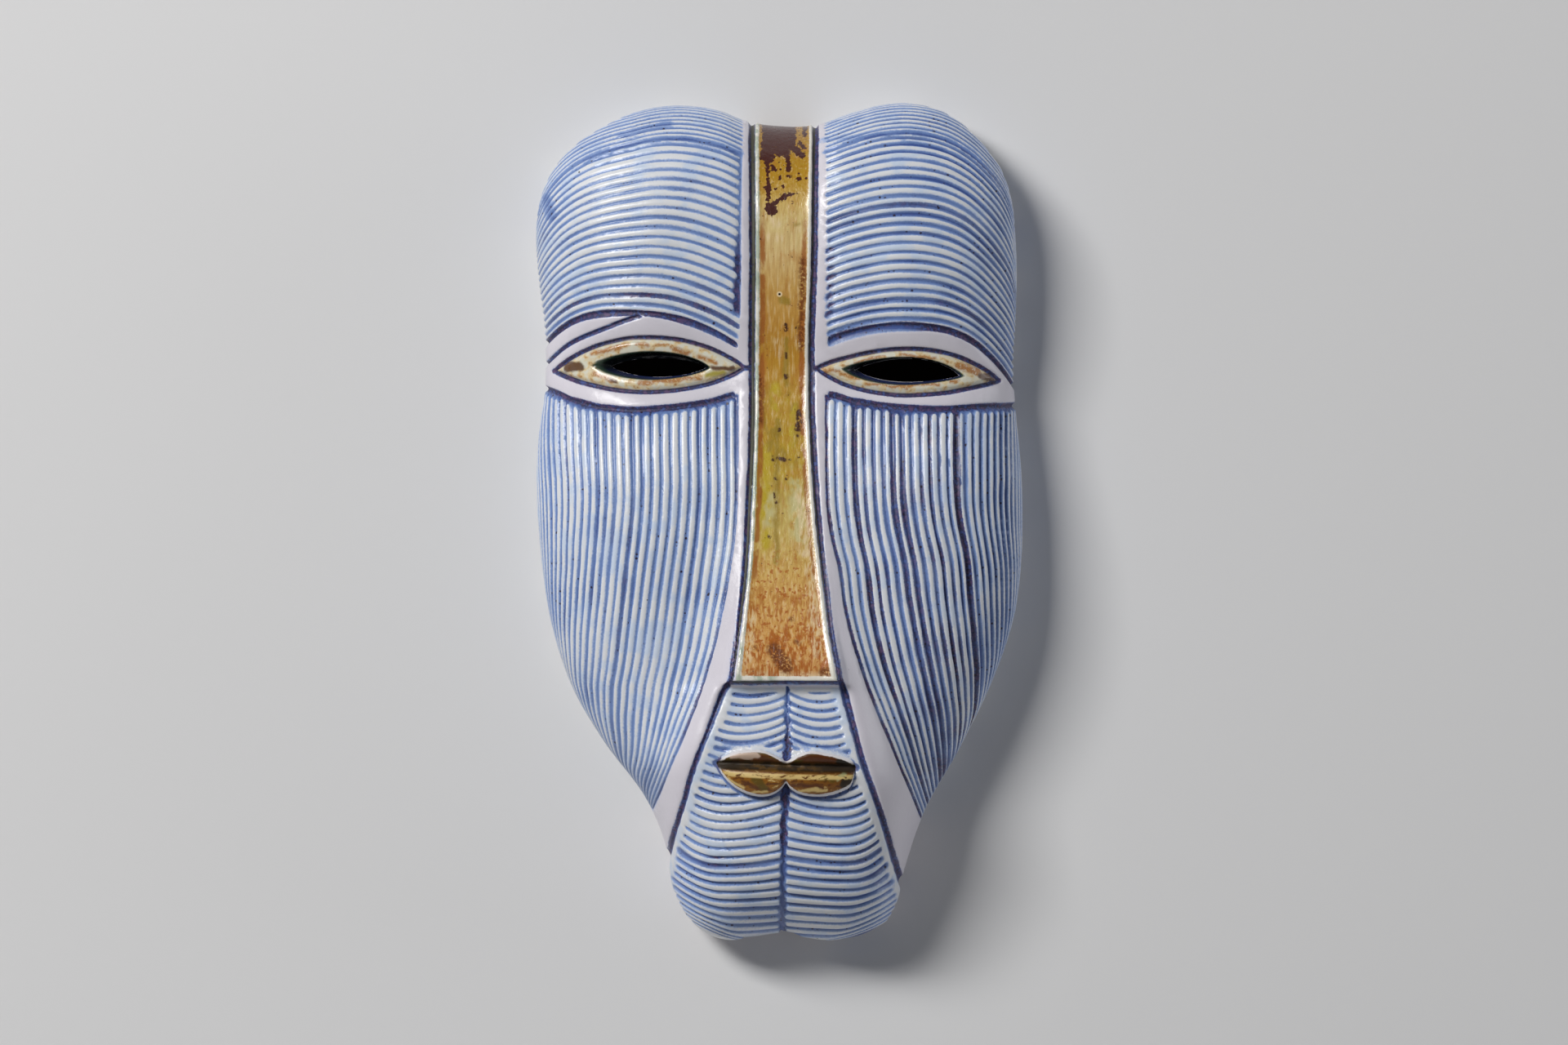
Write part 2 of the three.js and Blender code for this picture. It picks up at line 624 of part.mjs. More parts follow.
// Front surface: forehead, eyes and cheeks in rows, then the jaws and the muzzle side by side
function buildFront() {
  const forehead = foreheadRows();
  const crown = [forehead[0][0], ...outlineVertices(inPlane(forehead[0][0]), inPlane(forehead[0].at(-1)), 8),
    forehead[0].at(-1)];
  zip(crown, forehead[0], acrossKey);
  const rows = [...forehead, ...eyeRows()];
  for (let index = 0; index < rows.length - 1; index += 1) joinRows(rows[index], rows[index + 1]);

  const cheeks = cheekRows();
  const whole = (row) => [...[...row.left].reverse(), ...row.middle, ...row.right];
  zip(rows.at(-1), whole(cheeks[0]), acrossKey);
  for (let index = 0; index < cheeks.length - 1; index += 1) {
    const upper = cheeks[index];
    const lower = cheeks[index + 1];
    mirrored(() => match(upper.left, lower.left));
    match(upper.right, lower.right);
    match([upper.left[0], ...upper.middle, upper.right[0]], [lower.left[0], ...lower.middle, lower.right[0]]);
  }

  // Under the nose the muzzle takes over between the two dark lines
  const last = cheeks.at(-1);
  const muzzle = muzzleRows();
  zip(last.middle.slice(1, -1), muzzle[0], acrossKey);
  for (let index = 0; index < muzzle.length - 1; index += 1) match(muzzle[index], muzzle[index + 1]);
  const lowest = muzzle.at(-1);
  const right = lowest.at(-1);
  const chin = [right, ...outlineVertices(inPlane(right), inPlane(lowest[0]), 6), lowest[0]].reverse();
  zip(lowest, chin, acrossKey);

  for (const side of [-1, 1]) {
    const comb = side < 0 ? combLeftAt : combRightAt;
    const edge = side < 0 ? leftAt : rightAt;
    const line = side < 0 ? lineLeftAt : lineRightAt;
    let jawEnd = noseTipHeight;
    while ((edge(jawEnd) - comb(jawEnd)) * side > 0.5) jawEnd -= 0.1;
    const jaw = [side < 0 ? last.left : last.right];
    const count = 8;
    for (let index = 1; index < count; index += 1) {
      const z = noseTipHeight + (1 - (1 - index / count) ** 1.7) * (jawEnd - noseTipHeight);
      jaw.push(cheekRow(side, () => z));
    }
    jaw.push([vertex(edge(jawEnd), jawEnd, -combDepth)]);
    for (let index = 0; index < jaw.length - 1; index += 1) {
      const joining = () => match(jaw[index], jaw[index + 1]);
      if (side < 0) mirrored(joining);
      else joining();
    }
    const inner = jaw.map((row) => row[0]);
    const column = muzzle.map((row) => (side < 0 ? row[0] : row.at(-1)));
    const met = muzzle.findIndex((row) => {
      const [x, z] = inPlane(side < 0 ? row[0] : row.at(-1));
      return Math.abs(x - edge(z)) < 1.2;
    });
    const outer = [side < 0 ? last.middle[1] : last.middle.at(-2), ...column.slice(0, met + 1)];
    const rungs = 10;
    const columns = [0.25, 0.5, 0.75].map((way) => {
      const end = jawEnd + way * (vertices[outer.at(-1)].z - jawEnd);
      const strip = [side < 0 ? last.middle[0] : last.middle.at(-1)];
      for (let index = 1; index < rungs; index += 1) {
        const z = noseTipHeight + (index / rungs) * (end - noseTipHeight);
        const inside = Math.abs(comb(z)) < Math.abs(edge(z)) ? comb(z) : edge(z);
        strip.push(vertex(inside + way * (line(z) - inside), z, 0.3));
      }
      strip.push(vertex(edge(end), end, 0));
      return strip;
    });
    const joinStrips = () => {
      const lines = [inner, ...columns, outer];
      for (let index = 0; index < lines.length - 1; index += 1) zip(lines[index], lines[index + 1], downKey);
    };
    if (side < 0) mirrored(joinStrips);
    else joinStrips();
  }
}

// The open edge of the front surface, as one closed loop of vertex numbers, clockwise seen from the front
function boundaryLoop() {
  const follows = new Map();
  const seen = new Set(triangles.flatMap(([a, b, c]) => [`${a},${b}`, `${b},${c}`, `${c},${a}`]));
  for (const [a, b, c] of triangles) {
    for (const [from, to] of [[a, b], [b, c], [c, a]]) {
      if (!seen.has(`${to},${from}`)) follows.set(to, from);
    }
  }
  const loop = [follows.keys().next().value];
  while (follows.get(loop.at(-1)) !== loop[0]) loop.push(follows.get(loop.at(-1)));
  return loop;
}

// Direction out of the outline at one of its points, seen from the front
function outward(index) {
  const [beforeX, beforeZ] = outline[(index + outline.length - 3) % outline.length];
  const [afterX, afterZ] = outline[(index + 3) % outline.length];
  const length = Math.hypot(afterX - beforeX, afterZ - beforeZ);
  return [-(afterZ - beforeZ) / length, (afterX - beforeX) / length];
}

// A loop of vertices a given way inside the outline and in front of the wall
function outlineRing(inward, depth, every) {
  const ring = [];
  for (let index = 0; index < outline.length; index += every) {
    const [outX, outZ] = outward(index);
    const [x, z] = outline[index];
    ring.push(vertices.push(new THREE.Vector3(x - outX * inward, -depth, z - outZ * inward)) - 1);
  }
  return ring;
}

// Joins a loop to the ring behind it, both clockwise seen from the front
function zipLoops(loop, ring, every) {
  const place = (number) => {
    const { x, z } = vertices[number];
    const gap = (index) => Math.hypot(outline[index][0] - x, outline[index][1] - z);
    return outline.reduce((best, _, index) => (gap(index) < gap(best) ? index : best), 0);
  };
  const places = loop.map(place);
  const start = places.indexOf(Math.min(...places));
  const turned = [...loop.slice(start), ...loop.slice(0, start)];
  const keys = [...places.slice(start), ...places.slice(0, start)];
  turned.push(turned[0]);
  keys.push(keys[0] + outline.length);
  const back = [...ring, ring[0]];
  let i = 0;
  let j = 0;
  while (i < turned.length - 1 || j < back.length - 1) {
    const nextLoop = i < turned.length - 1 ? keys[i + 1] : Infinity;
    const nextRing = j < back.length - 1 ? (j + 1) * every : Infinity;
    if (nextLoop <= nextRing) {
      triangle(turned[i], turned[i + 1], back[j]);
      i += 1;
    } else {
      triangle(turned[i], back[j + 1], back[j]);
      j += 1;
    }
  }
}

const ringStep = 8;

function buildBack() {
  const rim = outlineRing(rimTuck, 0, ringStep);
  zipLoops(boundaryLoop(), rim, ringStep);
  const middle = vertices.push(new THREE.Vector3(0, 0, middleOfFace)) - 1;
  rim.forEach((number, index) => triangle(number, rim[(index + 1) % rim.length], middle));
}

// The hollow behind the face: rings from a line down its middle out to the inside of the walls
function hollow() {
  const points = [];
  const faces = [];
  const every = 15;
  const shares = [0.12, 0.3, 0.46, 0.6, 0.72, 0.83, 0.91, 0.97, 1];
  const spokes = outline.length / every;
  const spineTop = -50;
  const spineEnd = -238;
  const cleftReach = 46;
  const cleftTop = 12;
  const cleftArch = 4;
  const backOut = 2;
  const innerSkirt = skirtDepth - wallThickness / 2;
  const ridgeInside = 4;
  const place = (spoke, inward, share) => {
    const index = spoke * every;
    const [outX, outZ] = outward(index);
    const x = outline[index][0] - outX * inward;
    const z = outline[index][1] - outZ * inward;
    const spineZ = Math.min(spineTop, Math.max(spineEnd, z));
    const underCleft = share === shares[0] && z > spineTop && Math.abs(x) < cleftReach;
    const reached = underCleft ? cleftTop - cleftArch * (x / cleftReach) ** 2 : z;
    return [x * share, spineZ + (reached - spineZ) * share];
  };
  const innerDepth = (x, z) => {
    const share = Math.min(1, Math.max(0, inset(x, z) - wallThickness) / rollAt(z));
    const roll = Math.sqrt(1 - (1 - share) ** 2);
    const left = Math.min(0, lineLeftAt(z) + ridgeInside);
    const right = Math.max(0, lineRightAt(z) - ridgeInside);
    const beyond = Math.max(0, left - x, x - right) / spreadAt(z);
    const level = levelAt(z) + riseAt(z) * Math.exp(-1.6 * beyond * beyond) - wallThickness;
    return innerSkirt + (level - innerSkirt) * roll;
  };
  for (const share of shares) {
    for (let spoke = 0; spoke < spokes; spoke += 1) {
      const [x, z] = place(spoke, wallThickness, share);
      points.push([x, z, share === 1 ? innerSkirt : innerDepth(x, z)]);
    }
  }
  for (let spoke = 0; spoke < spokes; spoke += 1) {
    points.push([...place(spoke, rimTuck + wallThickness, 1), -backOut]);
  }
  const number = (ring, spoke) => ring * spokes + (spoke % spokes);
  const last = shares.length;
  for (let spoke = 0; spoke < spokes; spoke += 1) {
    for (let ring = 0; ring < last; ring += 1) {
      faces.push([number(ring, spoke), number(ring, spoke + 1), number(ring + 1, spoke)]);
      faces.push([number(ring, spoke + 1), number(ring + 1, spoke + 1), number(ring + 1, spoke)]);
    }
  }
  // The first and the last ring are filled from the top down, between their left and right halves
  for (const [ring, turned] of [[0, false], [last, true]]) {
    const heightOf = (spoke) => points[number(ring, spoke)][1];
    const order = Array.from({ length: spokes }, (_, spoke) => spoke);
    const lowest = order.reduce((best, spoke) => (heightOf(spoke) < heightOf(best) ? spoke : best), 0);
    const right = order.slice(0, lowest + 1);
    const left = [spokes, ...order.slice(lowest).reverse()];
    let i = 0;
    let j = 0;
    while (i < right.length - 1 || j < left.length - 1) {
      const nextRight = i < right.length - 1 ? heightOf(right[i + 1]) : -Infinity;
      const nextLeft = j < left.length - 1 ? heightOf(left[j + 1]) : -Infinity;
      const onRight = nextRight >= nextLeft;
      const third = onRight ? right[i + 1] : left[j + 1];
      const face = [left[j], third, right[i]].map((spoke) => number(ring, spoke));
      if (new Set(face).size === 3) faces.push(turned ? face.reverse() : face);
      if (onRight) i += 1;
      else j += 1;
    }
  }
  return { points: points.map(([x, z, depth]) => new THREE.Vector3(x, -depth, z)), faces };
}

// The see-through slit of an eye, as a lens-shaped bar from in front of the face into the hollow
function slitBar(eye) {
  const shape = new THREE.Shape();
  const count = 14;
  const [from, to] = eye.slit;
  const edge = (share, height) => {
    const swell = Math.max(0, 1 - (2 * share - 1) ** 2) ** 0.8;
    return [from + (to - from) * share, eye.slitHeight + (height - eye.slitHeight) * swell];
  };
  shape.moveTo(...edge(0, eye.slitTop));
  for (let index = 1; index <= count; index += 1) shape.lineTo(...edge(index / count, eye.slitTop));
  for (let index = count - 1; index > 0; index -= 1) shape.lineTo(...edge(index / count, eye.slitBottom));
  const bar = new THREE.ExtrudeGeometry(shape, { depth: 52, bevelEnabled: false });
  bar.rotateX(Math.PI / 2);
  bar.translate(0, -20, 0);
  return bar;
}

function notchBar() {
  const tall = 12;
  const bar = new THREE.BoxGeometry(notchWidth, notchFront + notchBack, tall);
  bar.translate(0, (notchBack - notchFront) / 2, notchTop - tall / 2);
  return bar;
}

const wasm = await Module();
wasm.setup();

function solidOf(points, faces) {
  return new wasm.Manifold(new wasm.Mesh({
    numProp: 3,
    vertProperties: new Float32Array(points.flatMap((point) => [point.x, point.y, point.z])),
    triVerts: new Uint32Array(faces.flat()),
  }));
}

function solidOfGeometry(geometry) {
  const bare = geometry.clone();
  bare.deleteAttribute('normal');
  bare.deleteAttribute('uv');
  const merged = mergeVertices(bare);
  return new wasm.Manifold(new wasm.Mesh({
    numProp: 3,
    vertProperties: merged.attributes.position.array,
    triVerts: new Uint32Array(merged.index.array),
  }));
}

function geometryOf(solid) {
  const mesh = solid.getMesh();
  const geometry = new THREE.BufferGeometry();
  geometry.setAttribute('position', new THREE.BufferAttribute(mesh.vertProperties, mesh.numProp));
  geometry.setIndex(new THREE.BufferAttribute(mesh.triVerts, 1));
  geometry.computeVertexNormals();
  return geometry;
}

function buildMask() {
  buildFront();
  buildBack();
  const { points, faces } = hollow();
  const shell = solidOf(vertices, triangles)
    .subtract(solidOf(points, faces))
    .subtract(solidOfGeometry(slitBar(eyeLeft)))
    .subtract(solidOfGeometry(slitBar(eyeRight)))
    .subtract(solidOfGeometry(notchBar()));
  const mask = new THREE.Mesh(geometryOf(shell), clay);
  mask.name = 'mask';
  return mask;
}

const wallMask = new THREE.Group();
wallMask.add(buildMask());

export default wallMask;
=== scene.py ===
import math

import bpy
import numpy as np
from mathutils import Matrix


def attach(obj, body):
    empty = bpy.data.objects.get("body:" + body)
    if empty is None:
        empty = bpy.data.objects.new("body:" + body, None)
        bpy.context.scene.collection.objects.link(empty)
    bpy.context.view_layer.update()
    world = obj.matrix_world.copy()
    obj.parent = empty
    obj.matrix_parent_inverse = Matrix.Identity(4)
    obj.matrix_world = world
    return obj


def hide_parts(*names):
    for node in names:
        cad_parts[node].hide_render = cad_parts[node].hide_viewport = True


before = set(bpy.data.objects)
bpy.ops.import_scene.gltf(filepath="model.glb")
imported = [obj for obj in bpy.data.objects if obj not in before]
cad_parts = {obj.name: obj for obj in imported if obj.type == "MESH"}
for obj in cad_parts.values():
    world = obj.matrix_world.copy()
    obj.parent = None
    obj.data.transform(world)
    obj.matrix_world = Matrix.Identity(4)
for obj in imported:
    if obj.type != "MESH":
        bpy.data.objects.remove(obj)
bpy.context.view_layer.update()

# The mask's form is worked out in millimetres: x across, z up, depth out from the wall.
# A field is one number for every point of the face, kept as a numpy array.
millimetre = 0.001

shell = {
    "wallThickness": 6,
    "rimTuck": 2.4,         # how far the side leans in by the time it meets the wall
    "skirtDepth": 13,       # depth of the side below the rolled-over edge
    "rimSoftness": 0.8,     # rounding of the two edges of the back rim
    "triangles": 188000,
    "gridAcross": 457,
    "gridDown": 745,
    "acrossRoll": (172, 36),    # length of the grid and of the roll at each end
    "downRoll": (290, 28),
    "skirtRows": 20,
    "insideEvery": 4,       # the inside takes one row and column in four
    "outline": [
        (0, 5.8), (12.5, 6.3), (24.2, 10.3), (35.9, 13.4), (46.1, 14), (56.3, 11.6), (65, 6.4), (72, -0.6),
        (78.4, -9.4), (82.2, -20.4), (83.8, -36), (84, -56), (82.9, -82), (83.8, -97), (85.6, -116),
        (86.2, -136), (85.4, -154), (82.8, -171), (75.2, -193), (63.8, -216.5), (51.2, -239), (44.2, -259),
        (41.3, -271.5), (36.6, -279.6), (29, -284), (19.8, -285.6), (9, -284.5), (0.3, -282.8), (-9, -283.9),
        (-18.5, -285.3), (-26.6, -283), (-33.8, -276.6), (-38.8, -266.8), (-42, -249.5), (-49, -233.8),
        (-64, -213.6), (-75.2, -194), (-82.3, -172), (-86, -148), (-87.6, -124), (-87, -106), (-84.6, -88),
        (-84.5, -70), (-86.8, -50), (-87.8, -36), (-87, -23.6), (-83, -12), (-75.5, -2.4), (-65, 5),
        (-53.4, 10.4), (-42, 12.9), (-32, 13), (-22, 11.3), (-12, 7.4),
    ],
    "corners": [(-79.6, -7.7), (77.8, -7.7), (41.7, -270), (-33.8, -276.5)],
}


# A smooth curve through a few (key, value) stations, held level past its ends
def curveThrough(stations):
    keys, values = np.array(sorted(stations), float).T
    ahead = np.minimum(np.arange(len(keys)) + 1, len(keys) - 1)
    behind = np.maximum(np.arange(len(keys)) - 1, 0)
    slopes = (values[ahead] - values[behind]) / (keys[ahead] - keys[behind])

    def read(at):
        held = np.clip(at, keys[0], keys[-1])
        right = np.clip(np.searchsorted(keys, held, side="right"), 1, len(keys) - 1)
        left = right - 1
        span = keys[right] - keys[left]
        share = (held - keys[left]) / span
        square = share * share
        cube = square * share
        fromLeft = (2 * cube - 3 * square + 1) * values[left]
        fromLeft = fromLeft + (cube - 2 * square + share) * span * slopes[left]
        fromRight = (3 * square - 2 * cube) * values[right] + (cube - square) * span * slopes[right]
        return fromLeft + fromRight

    return read


def mix(first, second, share):
    return first + (second - first) * share


# How far a value lies past either end of a span
def pastEnds(value, low, high):
    return np.maximum(0, np.maximum(low - value, value - high))


# 0 below low, 1 above high, and an even ease between
def rising(value, low, high):
    share = np.clip((value - low) / (high - low), 0, 1)
    return share * share * (3 - 2 * share)


def hump(distance, width):
    return np.exp(-((distance / width) ** 2))


# Even, seeded noise from -1 to 1 whose bumps are about size apart
def softNoise(x, z, size, seed):
    cells = 256
    lattice = np.random.default_rng(seed).uniform(-1, 1, (cells, cells))
    column = np.floor(x / size).astype(int)
    row = np.floor(z / size).astype(int)
    across = x / size - column
    down = z / size - row
    across = across * across * (3 - 2 * across)
    down = down * down * (3 - 2 * down)
    row, nextRow = row % cells, (row + 1) % cells
    column, nextColumn = column % cells, (column + 1) % cells
    upper = mix(lattice[row, column], lattice[row, nextColumn], across)
    lower = mix(lattice[nextRow, column], lattice[nextRow, nextColumn], across)
    return mix(upper, lower, down)


# Closed centripetal spline through the outline's points, as evenly spaced points
def closedSpline(points, count):
    here = np.array(points, float)
    before, after, beyond = (np.roll(here, shift, axis=0) for shift in (1, -1, -2))

    def knotGap(first, second):
        return np.sqrt(np.linalg.norm(second - first, axis=1))[:, None]

    gap0, gap1, gap2 = knotGap(before, here), knotGap(here, after), knotGap(after, beyond)
    leaving = ((here - before) / gap0 - (after - before) / (gap0 + gap1) + (after - here) / gap1) * gap1
    arriving = ((after - here) / gap1 - (beyond - here) / (gap1 + gap2) + (beyond - after) / gap2) * gap1
    steps = 60
    share = np.linspace(0, 1, steps, endpoint=False)[None, :, None]
    start, end, leave, arrive = (part[:, None, :] for part in (here, after, leaving, arriving))
    line = start + leave * share + (3 * (end - start) - 2 * leave - arrive) * share**2
    line = (line + (2 * (start - end) + leave + arrive) * share**3).reshape(-1, 2)
    line = np.vstack([line, line[:1]])
    length = np.concatenate([[0], np.cumsum(np.linalg.norm(np.diff(line, axis=0), axis=1))])
    places = np.linspace(0, length[-1], count, endpoint=False)
    return np.column_stack([np.interp(places, length, line[:, axis]) for axis in (0, 1)])


# Direction out of a closed clockwise line, seen from the front
def outwardOf(line):
    reach = 5
    along = np.roll(line, -reach, axis=0) - np.roll(line, reach, axis=0)
    along = along / np.linalg.norm(along, axis=1)[:, None]
    return np.column_stack([-along[:, 1], along[:, 0]])


outline = closedSpline(shell["outline"], 1440)
outward = outwardOf(outline)
innerOutline = outline - outward * shell["wallThickness"]
outlineX, outlineZ = outline.T
far = 1000


# Point of one part of the outline that scores highest
def farthest(part, score):
    return int(np.argmax(np.where(part, score, -far)))


leftHalf, upperHalf, lowerHalf = outlineX < 0, outlineZ > -70, outlineZ < -100
crownLeft, crownRight = farthest(leftHalf, outlineZ), farthest(~leftHalf, outlineZ)
chinLeft, chinRight = farthest(leftHalf, -outlineZ), farthest(~leftHalf, -outlineZ)
templeLeft, templeRight = farthest(upperHalf, -outlineX), farthest(upperHalf, outlineX)
cheekLeft, cheekRight = farthest(lowerHalf, -outlineX), farthest(lowerHalf, outlineX)


# One side of a closed line between two of its points, read by height (key 1) or by x (key 0)
def sideOf(line, first, last, key):
    stop = last if last > first else last + len(line)
    order = np.arange(first, stop + 1) % len(line)
    order = order[np.argsort(line[order, key])]
    return lambda at: np.interp(at, line[order, key], line[order, 1 - key])


def sidesOf(line):
    return {
        "left": sideOf(line, chinLeft, crownLeft, 1),
        "right": sideOf(line, crownRight, chinRight, 1),
        "top": sideOf(line, templeLeft, templeRight, 0),
        "bottom": sideOf(line, cheekRight, cheekLeft, 0),
    }


outer = sidesOf(outline)

# Depths down the middle, the level beside it, and the lines that divide the face
form = {
    "topRoll": 30, "sideRoll": 40, "jawRoll": 31, "chinRoll": 25,
    "level": [
        (14, 44), (-10, 47), (-40, 49), (-62, 47), (-80, 44.5), (-100, 47), (-124, 51), (-150, 52.5),
        (-175, 51.5), (-195, 49), (-215, 46.5), (-235, 44), (-255, 43), (-270, 41), (-286, 36),
    ],
    "ridge": [
        (14, -4), (-10, -2.6), (-60, -1), (-90, 0.5), (-124, 2), (-150, 5), (-170, 9), (-185, 12.4),
        (-192, 13.8), (-205, 15.2), (-215, 16), (-235, 15.4), (-255, 11), (-270, 6), (-286, 1),
    ],
    "nose": [(-130, 0), (-150, 0.8), (-172, 2.4), (-192.2, 5), (-194.4, -0.8), (-204, -0.6), (-212, 0)],
    "ridgeSpread": [(14, 7), (-100, 8), (-150, 12), (-195, 17), (-215, 20), (-240, 24), (-286, 26)],
    "ridgeFall": 1.6,
    "noseFlank": 1.8,
    "ridgeInside": 4,
    "swells": [
        {"x": 44, "z": -30, "wide": 26, "tall": 34, "rise": 2.2},       # halves of the forehead
        {"x": 46, "z": -82, "wide": 34, "tall": 13, "rise": -3},        # eye sockets
        {"x": 52, "z": -135, "wide": 22, "tall": 42, "rise": 2.4},      # cheeks
        {"x": 0, "z": -223.4, "wide": 24, "tall": 11, "rise": 2.6},     # mouth
    ],
    "noseTip": -192.2,
    "noseCut": -193,
    "noseUnder": -194.4,
}

edges = {
    "bandLeft": [
        (6, -9.4), (-37, -9.2), (-66, -9.2), (-101, -9.6), (-124, -10.3), (-150, -11.6), (-171, -13.8),
        (-192, -16.4),
    ],
    "bandRight": [
        (6, 11.2), (-37, 10.6), (-66, 9.8), (-85, 9.6), (-101, 9.9), (-124, 11.1), (-150, 13.6), (-171, 16),
        (-192, 19.6),
    ],
    "lineLeft": [
        (6, -10.5), (-37, -10.3), (-66, -10.5), (-101, -10.7), (-124, -11.4), (-150, -13), (-171, -15.3),
        (-185.5, -17.3), (-192, -18.4), (-197, -20.9), (-211, -26.5), (-223, -31.4), (-235, -35),
        (-252, -40), (-270, -43.5),
    ],
    "lineRight": [
        (6, 12.1), (-37, 11.6), (-66, 10.8), (-85, 10.7), (-101, 11), (-124, 12.3), (-150, 14.8),
        (-171, 17.4), (-185.5, 19.9), (-192, 21.1), (-211, 26), (-223, 29.4), (-240, 35.6), (-262, 42.3),
        (-266, 43.6), (-280, 47),
    ],
    "combLeft": [
        (6, -13.6), (-40, -14.1), (-66, -14.6), (-88, -15.9), (-124, -15.9), (-139, -16.8), (-153, -18.8),
        (-168, -21.5), (-182, -24.8), (-197, -29.5), (-211, -34.8), (-223, -40), (-233, -44), (-243, -48),
        (-260, -55),
    ],
    "combRight": [
        (6, 15.4), (-62, 15.9), (-124, 16.2), (-139, 17.6), (-153, 20.7), (-168, 23.2), (-182, 26.8),
        (-197, 31.8), (-211, 37.6), (-223, 42.6), (-235, 47.6), (-244, 51), (-262, 58),
    ],
    "centre": [(-192, 2.2), (-220, 2), (-245, 0.8), (-286, 0.3)],
}

levelAt = curveThrough(form["level"])
ridgeAt = curveThrough(form["ridge"])
noseAt = curveThrough(form["nose"])
spreadAt = curveThrough(form["ridgeSpread"])
rollAt = curveThrough([
    (14, form["topRoll"]), (-20, form["topRoll"]), (-70, form["sideRoll"]), (-170, form["sideRoll"]),
    (-215, form["jawRoll"]), (-250, form["chinRoll"]), (-286, form["chinRoll"]),
])
edgeAt = {name: curveThrough(stations) for name, stations in edges.items()}


# A smooth measure of how far a point is inside the outline
def insetOf(x, z):
    gaps = [x - outer["left"](z), outer["right"](z) - x, outer["top"](x) - z, z - outer["bottom"](x)]
    nearest = 0.001
    return 1 / np.sqrt(sum(1 / np.maximum(gap, nearest) ** 2 for gap in gaps))


def swelling(x, z):
    total = 0
    for swell in form["swells"]:
        sideways = hump(np.abs(x) - swell["x"], swell["wide"])
        total = total + swell["rise"] * sideways * hump(z - swell["z"], swell["tall"])
    return total


def rolled(inset, roll):
    share = np.clip(inset / roll, 0, 1)
    return np.sqrt(1 - (1 - share) ** 2)


def depthOf(x, z):
    beyond = pastEnds(x, edgeAt["lineLeft"](z), edgeAt["lineRight"](z))
    ridge = ridgeAt(z) * np.exp(-form["ridgeFall"] * (beyond / spreadAt(z)) ** 2)
    nose = noseAt(z) * hump(beyond, form["noseFlank"])
    level = levelAt(z) + ridge + nose + swelling(x, z)
    return shell["skirtDepth"] + (level - shell["skirtDepth"]) * rolled(insetOf(x, z), rollAt(z))


# Depth of the inside, a wall's thickness behind the face and smoother than it
def insideDepthOf(x, z):
    start = shell["skirtDepth"] - shell["wallThickness"] / 2
    left = np.minimum(0, edgeAt["lineLeft"](z) + form["ridgeInside"])
    right = np.maximum(0, edgeAt["lineRight"](z) - form["ridgeInside"])
    beyond = pastEnds(x, left, right) / spreadAt(z)
    level = levelAt(z) + ridgeAt(z) * np.exp(-form["ridgeFall"] * beyond**2) - shell["wallThickness"]
    return start + (level - start) * rolled(insetOf(x, z) - shell["wallThickness"], rollAt(z))


# Shares from 0 to 1 that lie closer together where the surface rolls over at both ends
def spacedOverRoll(count, length, roll):
    bend = roll * math.pi / 2
    total = length - 2 * roll + 2 * bend
    travelled = np.linspace(0, total, count)
    nearest = np.minimum(travelled, total - travelled)
    rolling = roll * (1 - np.cos(np.minimum(nearest, bend) / roll))
    inward = np.where(nearest < bend, rolling, roll + nearest - bend)
    return np.where(travelled < total / 2, inward, length - inward) / length


# A grid of places over the face that follows its four sides
def faceGrid(sides, corners, countAcross, countDown):
    across = spacedOverRoll(countAcross, *shell["acrossRoll"])[None, :]
    down = spacedOverRoll(countDown, *shell["downRoll"])[:, None]
    (topLeftX, topLeftZ), (topRightX, topRightZ), (lowRightX, lowRightZ), (lowLeftX, lowLeftZ) = corners
    leftZ = mix(topLeftZ, lowLeftZ, down)
    rightZ = mix(topRightZ, lowRightZ, down)
    topZ = sides["top"](mix(topLeftX, topRightX, across))
    lowZ = sides["bottom"](mix(lowLeftX, lowRightX, across))
    x = mix(sides["left"](leftZ), sides["right"](rightZ), across)
    z = mix(leftZ, rightZ, across)
    z = z + (1 - down) * (topZ - mix(topLeftZ, topRightZ, across))
    z = z + down * (lowZ - mix(lowLeftZ, lowRightZ, across))
    return x, z


# The face's four corners on the outline or on the line inside it
def cornersOn(line):
    found = []
    for corner in shell["corners"]:
        index = np.argmin(np.linalg.norm(outline - np.array(corner), axis=1))
        found.append(tuple(line[index]))
    return found


faceX, faceZ = faceGrid(outer, cornersOn(outline), shell["gridAcross"], shell["gridDown"])
facePlace = np.stack([faceX, -depthOf(faceX, faceZ), faceZ], axis=-1)
rowSteps = np.linalg.norm(np.diff(facePlace, axis=1), axis=-1)
travelled = np.concatenate([np.zeros((len(faceX), 1)), np.cumsum(rowSteps, axis=1)], axis=1)
print("face grid", faceX.shape)

